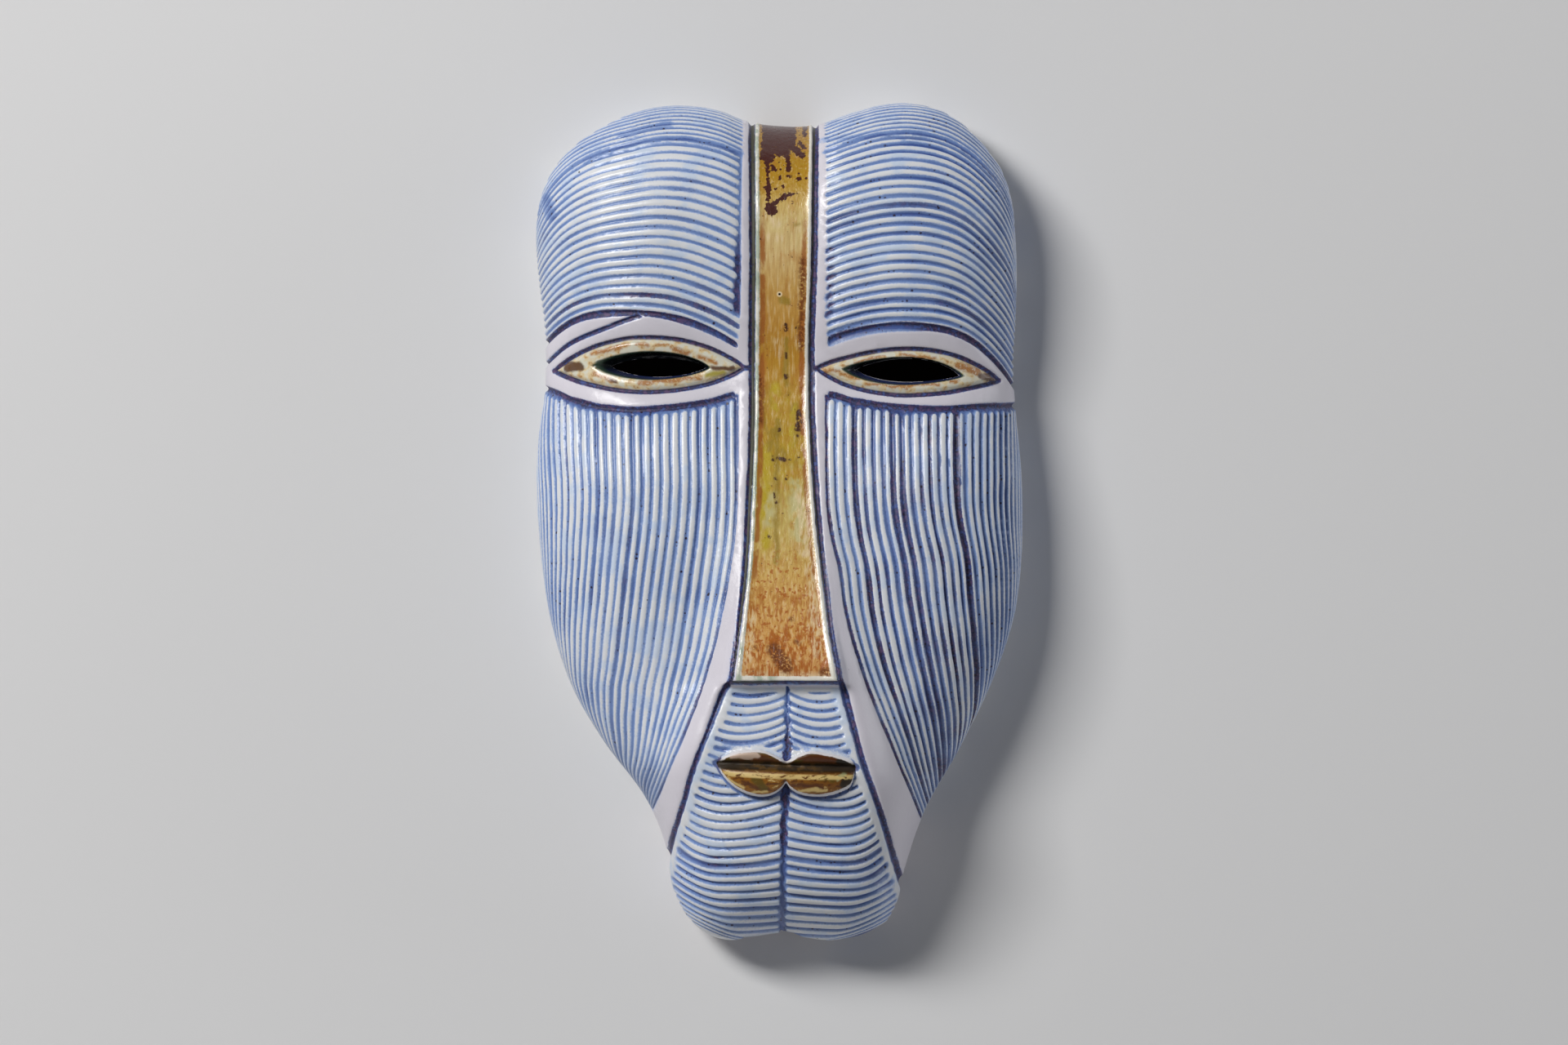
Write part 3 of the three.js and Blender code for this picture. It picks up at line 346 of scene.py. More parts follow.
# Combed lines. A phase counts them: it is whole at the middle of a groove and half way on top of a ridge.
comb = {
    "pitch": 3.4,
    "depth": 0.95,
    "grooveWidth": 0.43,        # of the way from a groove's middle to the next ridge
    "grooveShape": 2.3,         # 2 is an even bell, more is a flatter floor with steeper sides
    "crown": 0.1,               # rounding of the ridges between
    "wander": 0.12,             # how far lines stray, in pitches
    "unevenDepth": 0.22,
    "unevenWidth": 0.25,
    "topFollows": 0.62,         # how closely the highest arches follow the outline
    "topExtra": 2.2,            # lines that crowd in just below the top edge
    "archLeft": {
        "side": -1, "peakX": -53, "brow": -61.9, "innerReach": 38, "innerDrop": 12,
        "outerReach": 31, "outerDrop": 10, "outerPower": 3.4,
    },
    "archRight": {
        "side": 1, "peakX": 44, "brow": -66.8, "innerReach": 29, "innerDrop": 6,
        "outerReach": 38, "outerDrop": 19, "outerPower": 2.9,
    },
    "smileOuter": [(-198, 2.2), (-240, 5.4), (-257, 8.2), (-286, 8.6)],
    "smileInner": [(-198, 3.4), (-224, 4.8), (-236, 4.6), (-247, 3), (-258, 2.2), (-286, 1.2)],
    "smileTurn": 0.56,
    "fingertips": [(0, -4), (6, 1.5), (22, 2.1), (45, 3.2), (63, 3.8)],     # reach of ridge ends, downward
    "openLines": 3,             # the lowest lines over the left eye run on into the strip
    "muzzleShift": 0.35,        # of a pitch, by which the right half of the muzzle is out of step
    "smilePitch": [(-194, 3.25), (-223, 3.15), (-274, 3.15), (-280, 2.5), (-288, 2)],
}


def outerFall(arch, away):
    return arch["outerDrop"] * (np.maximum(0, away) / arch["outerReach"]) ** arch["outerPower"]


def browHeight(arch, x):
    away = (x - arch["peakX"]) * arch["side"]
    innerFall = arch["innerDrop"] * (np.minimum(0, away) / arch["innerReach"]) ** 2
    return arch["brow"] - outerFall(arch, away) - innerFall


def crownHeight(arch, x):
    away = (x - arch["peakX"]) * arch["side"]
    arched = outer["top"](np.array(arch["peakX"], float)) - outerFall(arch, away)
    return np.where(away > 0, mix(arched, outer["top"](x), comb["topFollows"]), outer["top"](x))


# Lines over one half of the forehead, counted upward from the brow
def archPhase(arch, x, z):
    steps = np.linspace(0, 1, 4000)
    low = browHeight(arch, np.array(arch["peakX"], float))
    high = crownHeight(arch, np.array(arch["peakX"], float))
    heights = mix(low, high, steps)
    depths = depthOf(np.full_like(heights, arch["peakX"]), heights)
    length = np.concatenate([[0], np.cumsum(np.hypot(np.diff(heights), np.diff(depths)))])
    brow = browHeight(arch, x)
    share = (z - brow) / (crownHeight(arch, x) - brow)
    counted = np.interp(share, steps, length) / comb["pitch"]
    counted = counted + np.minimum(share, 0) * (high - low) / comb["pitch"]
    return counted + comb["topExtra"] * rising(share, 0.8, 1.05)


# Lines down one cheek, counted outward from the white strip along the surface
def cheekPhase(side):
    startX = edgeAt["combLeft" if side < 0 else "combRight"](faceZ)
    beyond = faceX - startX
    start = np.array([np.interp(0, gap, way) for gap, way in zip(beyond, travelled)])[:, None]
    return (travelled - start) * side / comb["pitch"]


muzzleLeft = np.maximum(edgeAt["lineLeft"](faceZ), outer["left"](faceZ))
muzzleRight = np.minimum(edgeAt["lineRight"](faceZ), outer["right"](faceZ))
centreX = edgeAt["centre"](faceZ)
muzzleShare = np.where(
    faceX < centreX, (centreX - faceX) / (centreX - muzzleLeft), (faceX - centreX) / (muzzleRight - centreX))


# Lines round the mouth, counted downward from under the nose
def muzzlePhase():
    outerRise = curveThrough(comb["smileOuter"])
    innerRise = curveThrough(comb["smileInner"])
    turn = comb["smileTurn"]
    outerShare = np.clip((muzzleShare - turn) / (1 - turn), 0, 1.3)
    innerShare = np.clip((turn - muzzleShare) / turn, 0, 1)
    level = faceZ
    for _ in range(4):
        level = faceZ - outerRise(level) * outerShare**2 - innerRise(level) * innerShare**2
    heights = np.linspace(form["noseUnder"], comb["smilePitch"][-1][0], 2000)
    pitches = curveThrough(comb["smilePitch"])(heights)
    counted = np.concatenate([[0], np.cumsum(-np.diff(heights) / pitches[1:])])
    return np.interp(level, heights[::-1], counted[::-1])


leftOfNose = faceX < (edgeAt["lineLeft"](faceZ) + edgeAt["lineRight"](faceZ)) / 2


def bySide(left, right):
    return np.where(leftOfNose, left, right)


def faceNoise(size, seed):
    return softNoise(faceX, faceZ, size, seed)


# Signed distance outward from a pair of lines beside the nose, measured across them where they lean
def outwardFrom(name):
    gaps = []
    for side, sign in (("Left", -1), ("Right", 1)):
        edge = edgeAt[name + side]
        lean = (edge(faceZ + 1) - edge(faceZ - 1)) / 2
        gaps.append(sign * (faceX - edge(faceZ)) / np.sqrt(1 + lean**2))
    return bySide(*gaps)


# Signed distances to the lines that divide the face
ragged = faceNoise(1.7, 11)
slow = faceNoise(16, 12)
lineGap = outwardFrom("line") + 0.14 * slow
combGap = outwardFrom("comb") + 0.15 * slow + 0.12 * ragged
bandGap = np.minimum(
    np.minimum(faceX - edgeAt["bandLeft"](faceZ), edgeAt["bandRight"](faceZ) - faceX),
    faceZ - form["noseTip"]) + 0.1 * faceNoise(7, 13)
browGap = faceZ - bySide(browHeight(comb["archLeft"], faceX), browHeight(comb["archRight"], faceX))

lids = {
    "left": {"side": -1, "ends": (-88, -15), "endHeight": (-86.2, -89.8), "low": -95.6, "lowX": -52},
    "right": {"side": 1, "ends": (16.5, 83), "endHeight": (-90, -94), "low": -95.2, "lowX": 52},
    "fold": [               # second fold over the left eye
        (-87.5, -83), (-83, -78.2), (-77, -73.2), (-72, -70.6), (-62.3, -66.9), (-53.4, -63.6), (-48, -62.3),
    ],
    "foldEnd": (48.5, 51.5),
}


def lidHeight(lid, x):
    outwardX = (x - lid["lowX"]) * lid["side"]
    outerEnd = 0 if lid["side"] < 0 else 1
    end = np.where(outwardX > 0, outerEnd, 1 - outerEnd)
    reach = np.abs(np.array(lid["ends"])[end] - lid["lowX"])
    rise = np.array(lid["endHeight"])[end] - lid["low"]
    return lid["low"] + rise * np.minimum(1.3, np.abs(outwardX) / reach) ** 2


lidGap = bySide(lidHeight(lids["left"], faceX), lidHeight(lids["right"], faceX)) - faceZ
lidGap = lidGap + 0.25 * faceNoise(5, 14)

# Each lens runs from tip to tip along an axis, up to its top and down to its bottom
eyes = {
    "left": {
        "almond": {"tips": (-81.2, -13.4), "axis": (-81.9, -80.9), "top": -70.5, "bottom": -89.3},
        "slit": {"tips": (-60.6, -26.8), "axis": (-80.4, -80.9), "top": -77.4, "bottom": -84.2},
        "bevel": {"tips": (-67.4, -25.4), "axis": (-80, -80.9), "top": -75, "bottom": -85.3},
    },
    "right": {
        "almond": {"tips": (12.8, 77.6), "axis": (-81.2, -85.3), "top": -74.6, "bottom": -90.4},
        "slit": {"tips": (26.6, 63.2), "axis": (-81.6, -83.8), "top": -77.7, "bottom": -86},
        "bevel": {"tips": (21.4, 64.6), "axis": (-81.4, -83.9), "top": -77.2, "bottom": -87.1},
    },
    "fullness": {"almond": 0.85, "slit": 0.8, "bevel": 0.8},        # lower is fuller near the tips
    "rimStart": 0.9,        # from the dark almond line to the rim
    "rimHeight": 0.9,
    "bevelDepth": 3.6,
}


def lensSwell(name, share):
    return np.maximum(0, 1 - (2 * share - 1) ** 2) ** eyes["fullness"][name]


# How far each point of the face is inside a pair of lenses, below zero outside them
def lensGap(name):
    gaps = []
    for side in ("left", "right"):
        lens = eyes[side][name]
        low, high = lens["tips"]
        share = (faceX - low) / (high - low)
        axis = mix(*lens["axis"], np.clip(share, 0, 1))
        reach = np.where(faceZ > axis, lens["top"] - axis, axis - lens["bottom"]) * lensSwell(name, share)
        gaps.append(reach - np.hypot(faceZ - axis, pastEnds(faceX, low, high)))
    return bySide(*gaps)


eyeGap = lensGap("almond") + 0.12 * faceNoise(6, 15)
slitGap = np.maximum(0, -lensGap("slit"))
bevelGap = lensGap("bevel")
# 0 at the edge of the slit, 1 at the outer edge of its bevel and more beyond
slitShare = slitGap / np.maximum(slitGap + np.maximum(bevelGap, 0), 0.05) + np.maximum(-bevelGap, 0) / 2

lips = {
    "centre": 1.6, "halfWidth": 24.8, "height": -222, "lean": -0.03,
    "upper": [
        (-24.8, 0), (-21.9, 2.6), (-18.2, 4.4), (-13.1, 5.3), (-8, 5.2), (-4.4, 3.9), (-1.4, 2.3), (0, 1.6),
        (1.4, 2.3), (4.4, 4.1), (8.8, 5.5), (13.9, 5), (19.7, 3.9), (23.4, 2.2), (24.8, 0),
    ],
    "lower": [
        (-24.8, 0), (-22.6, 4), (-19.7, 7.2), (-16, 9.6), (-11.7, 11), (-7.3, 11.1), (-3.6, 9.7),
        (-1.4, 7.9), (0, 6.2), (1.4, 7.9), (4.4, 9.7), (9.5, 10.6), (15.3, 10.1), (20.4, 8.3), (23.2, 6),
        (24.8, 0),
    ],
    "rise": 4,
    "edge": 2.4,            # width of the rounded border
}

lipX = faceX - lips["centre"]
mouthGap = faceZ - lips["height"] - lips["lean"] * lipX
lipTop = curveThrough(lips["upper"])(lipX)
lipBottom = curveThrough(lips["lower"])(lipX)
lipReach = np.where(mouthGap > 0, lipTop, lipBottom)
lipPast = np.maximum(0, np.abs(lipX) - lips["halfWidth"])
lipGap = lipReach - np.hypot(mouthGap, lipPast)
lipShare = np.abs(mouthGap) / np.maximum(lipReach, 0.5)

# Which comb runs where. Families: 0 and 1 the forehead, 2 and 3 the cheeks, 4 and 5 the halves of the muzzle,
# left then right.
families, lineCount = 6, 80
familyWidth = np.array([0.92, 1.02, 0.94, 1, 0.86, 0.9])
familyDepth = np.array([0.66, 0.9, 0.86, 1, 0.78, 0.84])
inMuzzle = (lineGap < 0) & (faceZ < form["noseUnder"])
inForehead = ~inMuzzle & (browGap > -6)
arched = bySide(archPhase(comb["archLeft"], faceX, faceZ), archPhase(comb["archRight"], faceX, faceZ))
phase = np.where(inForehead, arched, bySide(cheekPhase(-1), cheekPhase(1)))
phase = np.where(inMuzzle, muzzlePhase(), phase)
family = np.where(inForehead, 0, 2) + bySide(0, 1)
family = np.where(inMuzzle, 4 + (faceX > centreX), family)
phase = phase + comb["wander"] * (0.75 * faceNoise(21, 16) + 0.25 * faceNoise(8, 17))
phase = phase + np.where(family == 5, comb["muzzleShift"], 0)

# A special line is named by its family and a place on it
specialLines = [
    {"family": 0, "x": -45.8, "z": 0.3, "width": 2.5, "depth": 1.1, "ink": 0.1},
    {"family": 0, "x": -51, "z": -54.6, "width": 1.35, "depth": 1.15, "ink": 0.6},
    {"family": 0, "x": -51, "z": -47.4, "width": 1.2, "depth": 1, "ink": 0.3},
    {"family": 1, "x": 36, "z": 1.8, "width": 2.2, "depth": 1, "ink": 0.1},
    {"family": 1, "x": 44, "z": -58, "width": 1.4, "depth": 1.1, "ink": 0.35},
    {"family": 1, "x": 36, "z": -22.5, "width": 1.3, "depth": 1, "ink": 0.35},
    {"family": 3, "x": 62.4, "z": -124, "width": 1.6, "depth": 1.5, "ink": 0.85},
    {"family": 3, "x": 40, "z": -124, "width": 1.35, "depth": 1.2, "ink": 0.55},
    {"family": 3, "x": 43, "z": -124, "width": 1.35, "depth": 1.2, "ink": 0.55},
    {"family": 2, "x": -52, "z": -124, "width": 1.3, "depth": 1.1, "ink": 0.3},
    {"family": 4, "x": -28, "z": -256.6, "width": 1.7, "depth": 1.15, "ink": 0.3},
    {"family": 5, "x": 28, "z": -256.6, "width": 1.5, "depth": 1.05, "ink": 0.35},
]


# Width, depth and darkness of each line of each family
def lineTables():
    draws = np.random.default_rng(5)
    width = 1 + comb["unevenWidth"] * draws.uniform(-1, 1, (families, lineCount))
    depth = 1 + comb["unevenDepth"] * draws.uniform(-1, 1, (families, lineCount))
    ink = np.clip(draws.normal(0.12, 0.1, (families, lineCount)), 0, 1)
    darkFrom, darkTo = 3, 13
    ink[3, darkFrom:darkTo] += draws.uniform(0.05, 0.35, darkTo - darkFrom)
    ink[2, 0], ink[3, 0] = 0.4, 0.75
    width[2:4, 0] = 1.35
    for line in specialLines:
        near = (faceX - line["x"]) ** 2 + (faceZ - line["z"]) ** 2
        near = np.where(family == line["family"], near, np.inf)
        number = int(round(phase.flat[np.argmin(near)]))
        width[line["family"], number] = line["width"]
        depth[line["family"], number] = line["depth"]
        ink[line["family"], number] = line["ink"]
    return width, depth, np.clip(ink, 0, 1)


widthTable, depthTable, inkTable = lineTables()
lineNumber = np.clip(np.round(phase).astype(int), 0, lineCount - 1)


# Depth of cut, from 0 on a ridge to 1 in a groove. Grooves and ridges end round: grooveEnd and ridgeEnd are
# how far past such an end a point is, in half pitches.
def grooveAt(phases, widths, grooveEnd=0, ridgeEnd=0):
    fromMiddle = np.abs(phases - np.round(phases)) * 2
    fromMiddle = 1 - np.hypot(1 - fromMiddle, np.maximum(ridgeEnd, 0))
    fromMiddle = np.hypot(np.maximum(fromMiddle, 0), np.maximum(grooveEnd, 0))
    bowl = np.exp(-((fromMiddle / (comb["grooveWidth"] * widths)) ** comb["grooveShape"]))
    rounding = comb["crown"] * np.maximum(0, 1 - fromMiddle) ** 2
    return np.clip((1 - comb["crown"]) * bowl + rounding, 0, 1)


lineWidth = widthTable[family, lineNumber] * (1 + 0.16 * faceNoise(6, 18)) * familyWidth[family]
lineCut = comb["depth"] * depthTable[family, lineNumber] * (1 + 0.2 * faceNoise(9, 19))
lineCut = lineCut * familyDepth[family] * (1 - 0.25 * rising(-faceZ, 140, 190) * (family == 2))

# Where lines end. Beside the strip the left forehead's ridges end round in a channel that gathers its
# grooves, except for its lowest lines, and the right forehead's grooves end round. Cheek ridges end round
# under the lower lid. Each line ends a little before or after its neighbours.
lineEnds = {                    # reach past the border it ends at, and how far that strays
    "forehead": (0.9, 0.3),
    "muzzle": (4.2, 0.6),
    "cheek": (3, 0.5),
    "chin": (1.9, 0.5),
}
fingertipStray = 0.45
pitHeight = rising(-faceZ, 36, 46) * rising(faceZ, -65, -60)
pits = 0.95 * pitHeight * rising(3.6 + ragged - combGap, 0, 2.2)
lineWidth = lineWidth * np.where(family == 1, 1 + pits, 1)
endDraws = np.random.default_rng(7).uniform(-1, 1, (families, lineCount))
uneasy = endDraws[family, lineNumber]
uneasyRidge = endDraws[family, np.clip(np.floor(phase).astype(int), 0, lineCount - 1)]
aboveLowest = inForehead & (phase > comb["openLines"])
inChannel = aboveLowest & (family == 0)
fingertips = np.interp(-faceZ, *zip(*comb["fingertips"]))
clearOfCentre = np.abs(faceX - centreX)


# How far past its line's end a point is, in half pitches
def pastEnd(reach, stray, draws, gap):
    return (reach + stray * draws - gap) / (comb["pitch"] / 2)


grooveEnd = np.where(inForehead & ~inChannel, pastEnd(*lineEnds["forehead"], uneasy, combGap), 0)
grooveEnd = np.where(inMuzzle, pastEnd(*lineEnds["muzzle"], uneasy, -lineGap), grooveEnd)
ridgeEnd = np.where(inForehead, 0, pastEnd(*lineEnds["cheek"], uneasyRidge, lidGap))
ridgeEnd = np.where(inChannel, pastEnd(fingertips, fingertipStray, uneasyRidge, combGap), ridgeEnd)
ridgeEnd = np.where(inMuzzle, pastEnd(*lineEnds["chin"], uneasyRidge, clearOfCentre), ridgeEnd)
groove = grooveAt(phase, lineWidth, grooveEnd, ridgeEnd)

# Where the comb has been
combedTop = rising(browGap, 1.2, 2.6) * np.where(inChannel, rising(combGap, -0.2, 0.6), 1)
combedCheek = rising(combGap, -0.9, 0.1) * rising(lidGap, 0.2, 0.9)
combedMuzzle = (
    rising(form["noseUnder"] - faceZ, 1.2, 2.4) * rising(-lipGap, 0.9, 2) * rising(clearOfCentre, 0.1, 0.5))
combed = np.where(inMuzzle, combedMuzzle, np.where(inForehead, combedTop, combedCheek))
combed = combed * rising(-eyeGap, 1, 2)
print("comb lines", [int(phase[family == number].max()) for number in range(families)])

# Lines cut with a tool: how wide and deep each is, and how dark the glaze in it
ruledLines = {
    "strip": {"width": 0.98, "depth": 1.2, "ink": 0.8},
    "brow": {"width": 1.05, "depth": 1.3, "ink": 0.8},
    "fold": {"width": 0.8, "depth": 1.15, "ink": 0.75},
    "lid": {"width": 1.05, "depth": 1.3, "ink": 0.8},
    "almond": {"width": 1, "depth": 1.2, "ink": 0.85},
    "corner": {"width": 0.8, "depth": 1.1, "ink": 0.75},
    "nose": {"width": 0.62, "depth": 1.1, "ink": 0.9},
    "centre": {"width": 0.45, "depth": 1.1, "ink": 0.15},
    "lipBorder": {"width": 0.8, "depth": 0.7, "ink": 0.45},
    "mouth": {"width": 1.3, "depth": 1.7, "ink": 1},
}
lineSteepness = 2.4


# How deep such a line is at a distance from its middle
def cutLine(name, gap, **own):
    line = {**ruledLines[name], **own}
    return line["depth"] * np.exp(-np.abs(gap / line["width"]) ** lineSteepness)


cuts = {}
stripWide = ruledLines["strip"]["width"] + 0.14 * ragged + rising(-faceZ, 190, 200) * bySide(-0.16, 0.04)
cuts["strip"] = cutLine("strip", lineGap, width=stripWide)
browWide = ruledLines["brow"]["width"] + 0.25 * slow + 0.4 * rising(faceX, 0, 10) * rising(-faceX, -56, -40)
browCut = cutLine("brow", browGap - browWide / 4, width=browWide) * rising(combGap, 0, 1.6)
cuts["brow"] = np.where(inForehead & (combGap > -0.5), browCut, 0)
foldCut = cutLine("fold", faceZ - curveThrough(lids["fold"])(faceX)) * rising(-faceX, *lids["foldEnd"])
cuts["fold"] = bySide(foldCut, 0)
cuts["lid"] = np.where(inMuzzle, 0, cutLine("lid", lidGap - 0.3) * rising(combGap, 0.2, 2))
cuts["almond"] = np.where(inMuzzle, 0, cutLine("almond", eyeGap - 0.2))
innerTip = bySide(eyes["left"]["almond"]["axis"][1], eyes["right"]["almond"]["axis"][0])
cornerCut = cutLine("corner", faceZ - innerTip + 0.15) * rising(lineGap, -0.5, 0)
cuts["corner"] = np.where(combGap < -0.6, cornerCut, 0)
cuts["nose"] = cutLine("nose", faceZ - form["noseCut"]) * rising(-lineGap, -0.6, 0.4)
widened = ruledLines["centre"]["width"] + 0.9 * rising(-faceZ, 208, 216)
centreWide = np.where(faceZ > lips["height"], widened, 1.25 - 0.45 * rising(-faceZ, 242, 262))
centreDeep = ruledLines["centre"]["depth"] + 0.9 * rising(faceZ, -238, -229) * rising(-faceZ, 222, 224)
centreCut = cutLine("centre", faceX - centreX + 0.5 * ragged, width=centreWide, depth=centreDeep)
cuts["centre"] = np.where(inMuzzle, centreCut, 0) * rising(-lipGap, -0.6, 0.6)
cuts["lipBorder"] = np.where(inMuzzle, cutLine("lipBorder", lipGap + 0.7) * rising(-mouthGap, -6, 1), 0)
cuts["mouth"] = np.where(lipGap > 0, cutLine("mouth", mouthGap), 0)
ruled = np.where((lipGap > 0) & inMuzzle, cuts["mouth"], np.maximum.reduce(list(cuts.values())))
combCut = groove * lineCut * combed
cut = np.maximum(combCut, ruled)

# Raised parts: the band's rim, the rim round each eye with its bevel into the slit, and the lips
bandShape = {"rimHeight": 0.38, "rimPlace": 0.75, "rimWidth": 0.55, "hollow": 0.12}
bandRim = bandShape["rimHeight"] * hump(bandGap - bandShape["rimPlace"], bandShape["rimWidth"])
bandRim = bandRim * rising(bandGap, 0, 0.4) - bandShape["hollow"] * rising(bandGap, 1.2, 2.4)
inEye = rising(eyeGap, 0, eyes["rimStart"])
rimRound = eyes["rimHeight"] * np.sqrt(np.clip(rising(eyeGap, 0.2, 2.6), 0, 1)) * inEye
bevel = eyes["bevelDepth"] * (1 - rising(slitShare, -0.1, 1.05)) * inEye
rim = np.where(inMuzzle, 0, rimRound * rising(slitShare, 0, 1.4) - bevel)
lipShare = np.clip(lipShare, 0, 1)
lipBody = np.where(
    mouthGap > 0,
    0.5 + 0.5 * rising(lipShare, 0, 0.9),
    0.7 + 0.3 * rising(lipShare, 0, 0.4) - 0.3 * rising(lipShare, 0.45, 1))
lipEdge = np.sqrt(np.clip(1 - (1 - np.clip(lipGap / lips["edge"], 0, 1)) ** 2, 0, 1))
lipTaper = np.clip(1 - (np.abs(lipX) / (lips["halfWidth"] + 1)) ** 3, 0, 1) ** 0.7
lipRise = np.where(inMuzzle & (lipGap > 0), lips["rise"] * lipBody * lipEdge * lipTaper, 0)
inset = insetOf(faceX, faceZ)
uneven = 0.18 * faceNoise(11, 20) + 0.05 * faceNoise(3, 21) - 0.2
relief = bandRim + rim + lipRise + uneven * rising(inset, 0, 8) - cut


# Darkness of the glaze that fills a cut, from pale cobalt to near black
def inCut(name):
    return (cuts[name] >= cut - 0.02) & (cuts[name] > 0.15)


ink = inkTable[family, lineNumber] * np.where(combCut > 0.05, 1, 0)
ink = ink * (1 + 0.5 * faceNoise(7, 22))
# The ends of the forehead's lower grooves beside the strip are darker
darkerEnds = rising(-faceZ, 16, 48) * rising(3.4 + 1.2 * ragged - combGap, 0, 1)
ink = np.maximum(ink, np.where(aboveLowest, 0.75 * darkerEnds, 0) * rising(combCut, 0.2, 0.6))
for name, line in ruledLines.items():
    ink = np.where(inCut(name), line["ink"], ink)
byMouth = rising(np.abs(faceZ - lips["height"] + 8), 30, 16)
ink = ink + np.where(inCut("centre"), 0.7 * byMouth, 0)
bluer = rising(faceX, 8, 14) * rising(-faceX, -52, -44)
bluer = bluer + 0.5 * rising(-faceX, 16, 20) * rising(faceX, -38, -32)
ink = np.where(inCut("brow"), ink * (1 - 0.6 * bluer * rising(-browGap, -1.4, 0.2)), ink)
ink = np.where(inMuzzle & inCut("strip"), 0.5, ink)
rustSpot = {"x": -23.5, "z": -256.2, "wide": 4, "tall": 2.4}
spotted = hump(faceX - rustSpot["x"], rustSpot["wide"]) * hump(faceZ - rustSpot["z"], rustSpot["tall"])
ink = np.clip(np.maximum(ink, spotted * (combCut > 0.25)), 0, 1)

# More blue towards the outline, where the surface turns away at the sides and over the top, with a little
# noise
outlineBlue = 0.12 * rising(-inset, -15, -1) + 0.06 * faceNoise(13, 24)
print("relief worked out")


# Direction that the smooth surface faces
def facingOf(place):
    downward = np.gradient(place, axis=0)
    rightward = np.gradient(place, axis=1)
    facing = np.cross(downward, rightward)
    return facing / np.maximum(np.linalg.norm(facing, axis=-1, keepdims=True), 1e-12)


# Numbers of a grid's border, clockwise seen from the front, starting at its top left corner
def borderOf(down, across):
    numbers = np.arange(down * across).reshape(down, across)
    return np.concatenate([numbers[0, :-1], numbers[:-1, -1], numbers[-1, :0:-1], numbers[:0:-1, 0]])


# The outline's outward direction nearest to each of some points
def outwardNear(points):
    gaps = ((points[:, None, :] - outline[None, ::2, :]) ** 2).sum(axis=2)
    return outward[::2][np.argmin(gaps, axis=1)]


# Points of a plan of x and z at some y
def atY(plan, y):
    return np.column_stack([plan[:, 0], np.full(len(plan), y), plan[:, 1]])


# A running mean round a closed line
def smoothedRound(values, reach):
    kernel = np.ones(reach) / reach
    padded = np.concatenate([values[-reach:], values, values[:reach]], axis=0)
    if values.ndim == 1:
        return np.convolve(padded, kernel, mode="same")[reach:-reach]
    return np.stack([np.convolve(column, kernel, mode="same") for column in padded.T], axis=1)[reach:-reach]


down, across = faceX.shape
border = borderOf(down, across)
borderPlan = np.column_stack([faceX.flat[border], faceZ.flat[border]])
borderOut = smoothedRound(outwardNear(borderPlan), 9)
borderOut = borderOut / np.linalg.norm(borderOut, axis=1)[:, None]


def atBorder(field):
    return field.flat[border]


flatPlace = facePlace.reshape(-1, 3)
flatFacing = facingOf(facePlace).reshape(-1, 3)
flatFacing[border] = atY(borderOut, -0.02)
facePoints = flatPlace + flatFacing * relief.reshape(-1, 1)

# The comb's phase runs on round the edge and down the side at the rate it crosses the edge
step = 3
rows, columns = np.divmod(border, across)
inner = np.clip(rows, step, down - 1 - step) * across + np.clip(columns, step, across - 1 - step)
crossed = np.linalg.norm(flatPlace[border] - flatPlace[inner], axis=1)
rate = (atBorder(phase) - phase.flat[inner]) / np.maximum(crossed, 0.01)
rate = smoothedRound(np.where(np.abs(rate) > 1.3 / comb["pitch"], 0, rate), 25)

skirtRows = shell["skirtRows"]
skirtPoints, skirtCuts, skirtInks = [], [], []
for row in range(1, skirtRows + 1):
    share = row / skirtRows
    depth = shell["skirtDepth"] * (1 - share)
    tuck = shell["rimTuck"] * share**1.6
    softened = shell["rimSoftness"] * max(0, 1 - depth / shell["rimSoftness"]) ** 2
    fade = 1 - rising(share + 0.12 * softNoise(borderPlan[:, 0], borderPlan[:, 1], 4, 23), 0.62, 0.9)
    phases = atBorder(phase) + rate * (shell["skirtDepth"] - depth)
    rowCut = grooveAt(phases, atBorder(lineWidth)) * atBorder(lineCut) * atBorder(combed)
    rowCut = np.maximum(rowCut, atBorder(ruled)) * fade
    plan = borderPlan - borderOut * (tuck + softened + rowCut)[:, None]
    skirtPoints.append(atY(plan, -depth))
    skirtCuts.append(rowCut)
    skirtInks.append(atBorder(ink) * fade)

# The inside: the same grid, coarser and a wall's thickness in
every = shell["insideEvery"]
insideAcross = (across - 1) // every + 1
insideDown = (down - 1) // every + 1
insideX, insideZ = faceGrid(sidesOf(innerOutline), cornersOn(innerOutline), insideAcross, insideDown)
pressed = 0.35 * softNoise(insideX, insideZ, 17, 31) + 0.12 * softNoise(insideX, insideZ, 6, 32)
insideInset = rising(insetOf(insideX, insideZ), 7, 20)
insideDepth = insideDepthOf(insideX, insideZ) + (pressed - 0.4) * insideInset
insidePoints = np.stack([insideX, -insideDepth, insideZ], axis=-1).reshape(-1, 3)
insideBorder = borderOf(insideDown, insideAcross)
insideEdge = insidePoints[insideBorder]
insideOut = borderOut[::every]
rimIn = insideEdge[:, [0, 2]] - insideOut * shell["rimTuck"]
wallShares = (0, 0.08, 0.3, 0.55, 0.8)
wallPoints = []
for share in wallShares:
    plan = mix(rimIn, insideEdge[:, [0, 2]], share)
    plan = plan + insideOut * (0 if share else shell["rimSoftness"])
    wallPoints.append(atY(plan, mix(0, insideEdge[:, 1], share)))

# All the points in one list, with the numbers of each part's first point
parts = [facePoints, *skirtPoints, *wallPoints, insidePoints]
starts = np.cumsum([0] + [len(part) for part in parts])
points = np.concatenate(parts)


